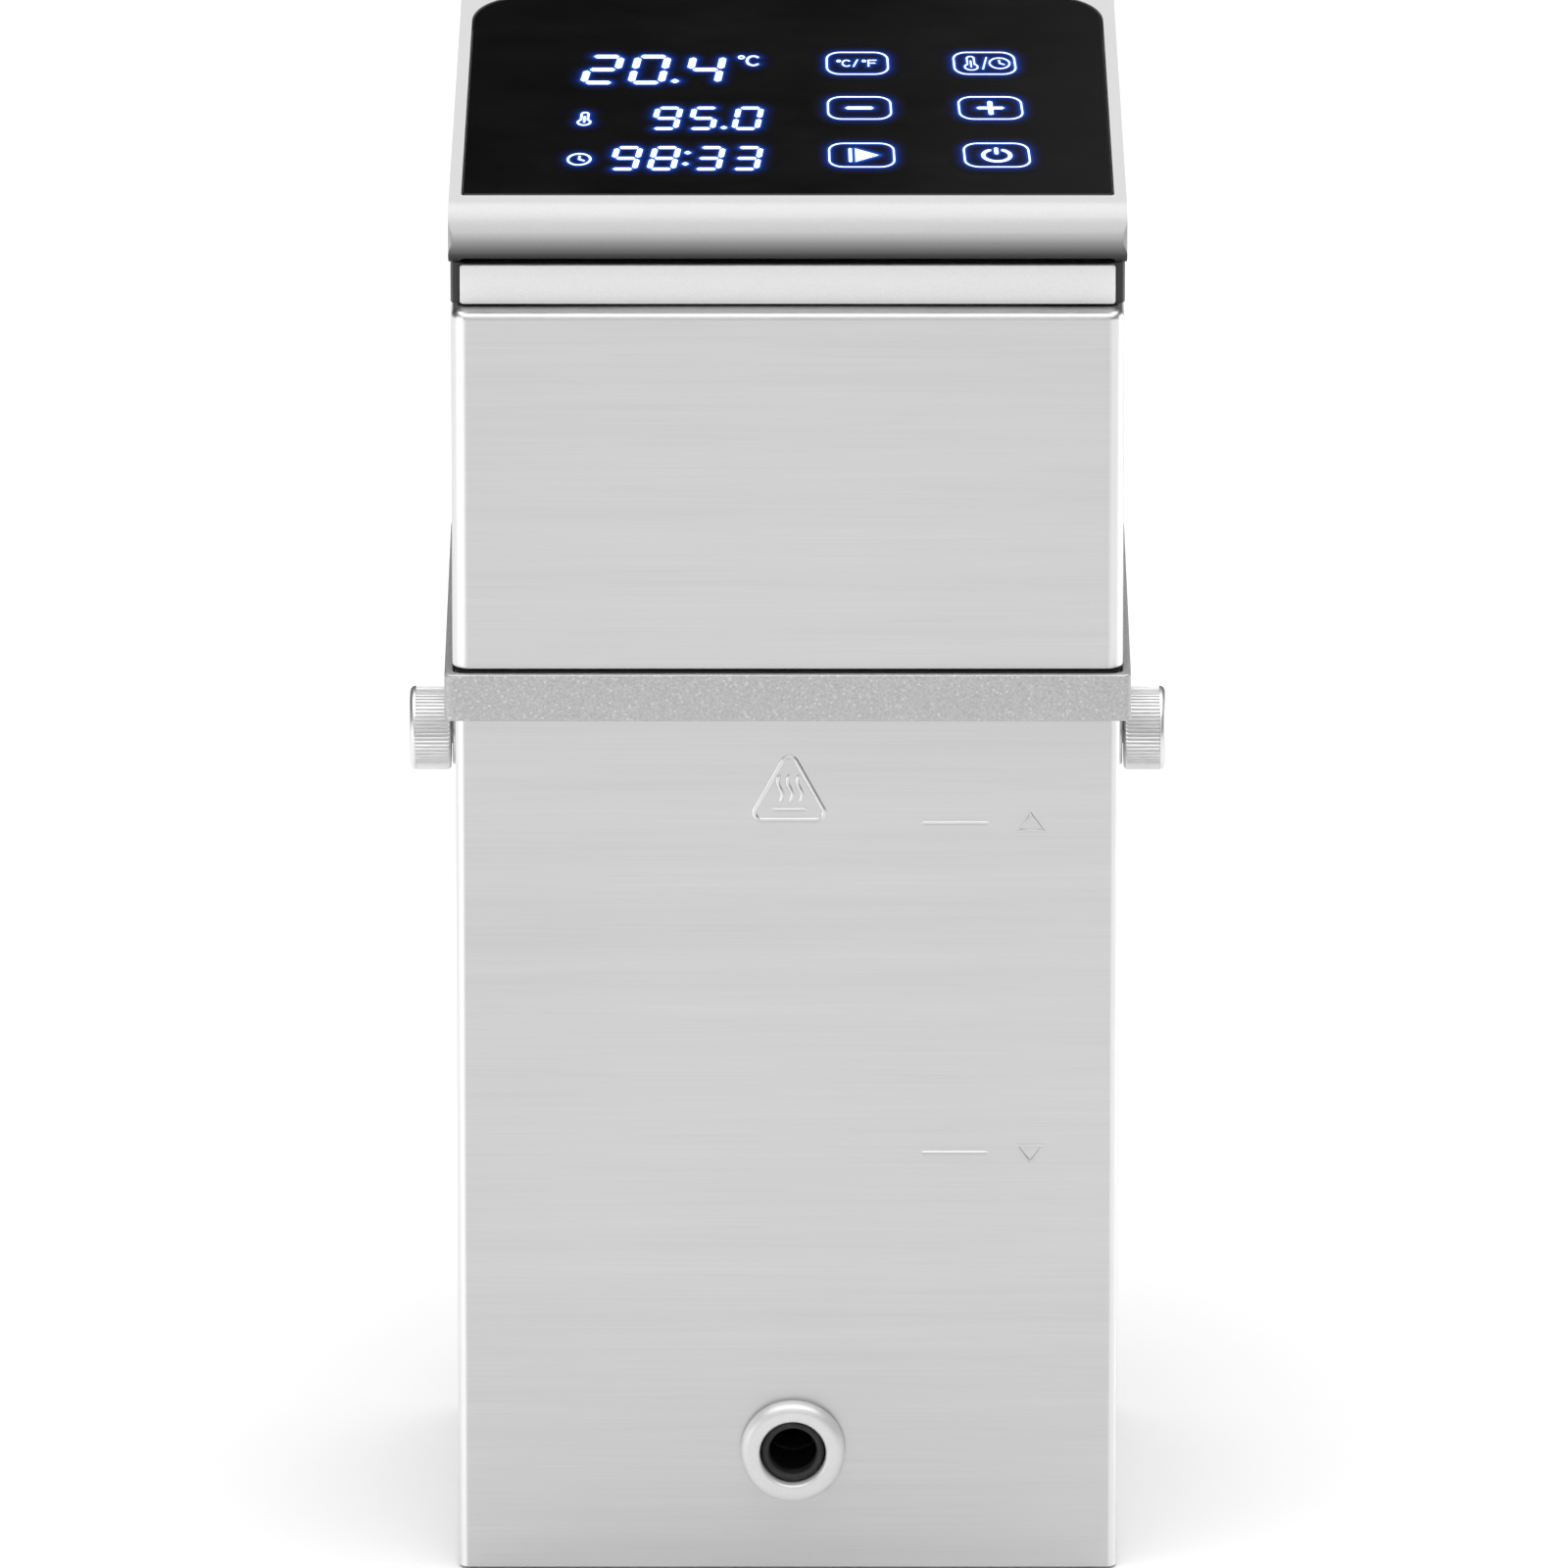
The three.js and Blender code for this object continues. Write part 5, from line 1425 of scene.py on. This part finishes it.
def make_clamp_screw():
    """A rod with a rolled thread."""
    low, high = box("clamp_screw")
    radius, length, pitch, depth, lead_in = (high.x - low.x) / 2, high.y - low.y, 2.0, 0.55, 1.5
    around, per_pitch = 36, 8
    rows = int(length / pitch * per_pitch)
    rings = []
    for i in range(rows + 1):
        along = length * i / rows
        fade = min(1.0, along / lead_in, (length - along) / lead_in)
        phases = [(along / pitch - j / around) % 1.0 for j in range(around)]
        crests = [min(1.0, 1.5 * (1 - abs(2 * phase - 1))) for phase in phases]
        rings.append(polar([radius - depth * (1 - crest * fade) for crest in crests], along))
    screw = skin("clamp_screw_detail", rings, facing_back(0, clamp_axis(), low.y))
    stand_in(screw, HARDWARE, "clamp_screw", angle=50)


def make_clamp_knob():
    low, high = box("clamp_knob")
    length, radius, lobe, lobes, edge, bore = high.y - low.y, 15.2, 1.8, 5, 2.2, 7.0
    steps = lobes * 24

    def ring(height, inset):
        angles = [2 * math.pi * i / steps for i in range(steps)]
        return polar([radius + lobe * math.cos(lobes * angle) - inset for angle in angles], height)

    rings = [
        *[ring(edge - edge * math.sin(a), edge - edge * math.cos(a)) for a in reversed(quarter())],
        *[ring(length - edge + edge * math.sin(a), edge - edge * math.cos(a)) for a in quarter()],
        ring(length, edge + 1.2),
        ring(length - 0.5, edge + 1.8),
        ring(length - 0.5, edge + 4.5),
        ring(length - 0.2, edge + 5.0),
    ]
    place = facing_back(0, clamp_axis(), low.y)
    knob = skin("clamp_knob_detail", rings, place)
    cut(knob, prism("bore", circle(0, 0, SCREW_HOLE, 48), -1, bore + 0.3, place))
    stand_in(knob, KNOB_BLACK, "clamp_knob", angle=28)


def make_bracket_bolts():
    head, height, length = 3.0, 2.6, 12
    for side, (x, z) in zip(("left", "right"), bolt_places()):
        node = f"bracket_bolt_{side}"
        place = facing_back(x, z, box(node)[1].y - height)
        socket = prism("socket", circle(0, 0, 1.45, 6), 1.1, 4, place)
        pan_head_screw(node, place, head, height, length, socket)


def make_clamp():
    make_bracket()
    make_jaw_pad()
    make_pressure_pad()
    make_clamp_screw()
    make_clamp_knob()
    make_bracket_bolts()


# ---------- stage


def make_floor():
    mesh = bpy.data.meshes.new("floor")
    reach, drop = 9.0, 0.0004
    corners = [(x * reach, y * reach, 0) for x, y in ((-1, -1), (1, -1), (1, 1), (-1, 1))]
    mesh.from_pydata(corners, [], [(0, 1, 2, 3)])
    floor = linked("floor", mesh)
    floor.location.z = -drop
    made = Surface("floor_paint", grey(0.86), 0.8)
    made.tint(made.noise(0.7, detail=2), grey(0.9), grey(0.93))
    mesh.materials.append(made.material)


def add_area(name, place, target, width, height, power):
    light = bpy.data.lights.new(name, "AREA")
    light.shape = "RECTANGLE"
    light.size, light.size_y = width, height
    light.energy = power
    obj = linked(name, light)
    obj.location = place
    obj.visible_camera = False
    obj.rotation_euler = (Vector(target) - Vector(place)).to_track_quat("-Z", "Y").to_euler()


def make_light():
    """Five soft boxes, in metres and watts, and a pale backdrop that only camera rays see."""
    world = bpy.data.worlds.new("studio")
    world.use_nodes = True
    nodes, links = world.node_tree.nodes, world.node_tree.links
    room, backdrop = nodes["Background"], nodes.new("ShaderNodeBackground")
    for background, strength in ((room, 0.02), (backdrop, 0.9)):
        background.inputs["Color"].default_value = (1, 1, 1, 1)
        background.inputs["Strength"].default_value = strength
    mix = nodes.new("ShaderNodeMixShader")
    links.new(nodes.new("ShaderNodeLightPath").outputs["Is Camera Ray"], mix.inputs["Fac"])
    links.new(room.outputs["Background"], mix.inputs[1])
    links.new(backdrop.outputs["Background"], mix.inputs[2])
    links.new(mix.outputs["Shader"], nodes["World Output"].inputs["Surface"])
    bpy.context.scene.world = world
    middle_height = (0, 0, 0.15)
    add_area("top", (0, -0.3, 5.0), (0, -0.3, 0), 8.0, 7.6, 520)
    add_area("front", (0, -5.0, 2.6), middle_height, 5.0, 2.6, 48)
    add_area("left", (-1.6, -0.9, 0.32), middle_height, 1.5, 0.55, 6)
    add_area("right", (1.7, 0.6, 0.32), middle_height, 1.5, 0.55, 6)
    add_area("rear", (1.05, 2.2, 2.3), middle_height, 2.0, 1.4, 2.4)


def make_camera():
    """At the front, a little above, far off with a long lens."""
    data = bpy.data.cameras.new("camera")
    data.sensor_width, data.lens, data.clip_end = 36.0, 540.8, 50
    camera = linked("camera", data)
    elevation, distance = math.radians(18.07), 4.5
    target = Vector((-0.00069, -0.00079, 0.1423))
    back = Vector((0, -math.cos(elevation), math.sin(elevation)))
    camera.location = target + back * distance
    camera.rotation_euler = (-back).to_track_quat("-Z", "Y").to_euler()
    bpy.context.scene.camera = camera
    bpy.context.scene.view_settings.view_transform = "Standard"


make_lower_body()
make_wet_end()
make_deck_area()
make_upper_shell()
make_inlet()
make_inside()
make_neck()
make_head()
make_legends()
make_clamp()
make_floor()
make_light()
make_camera()
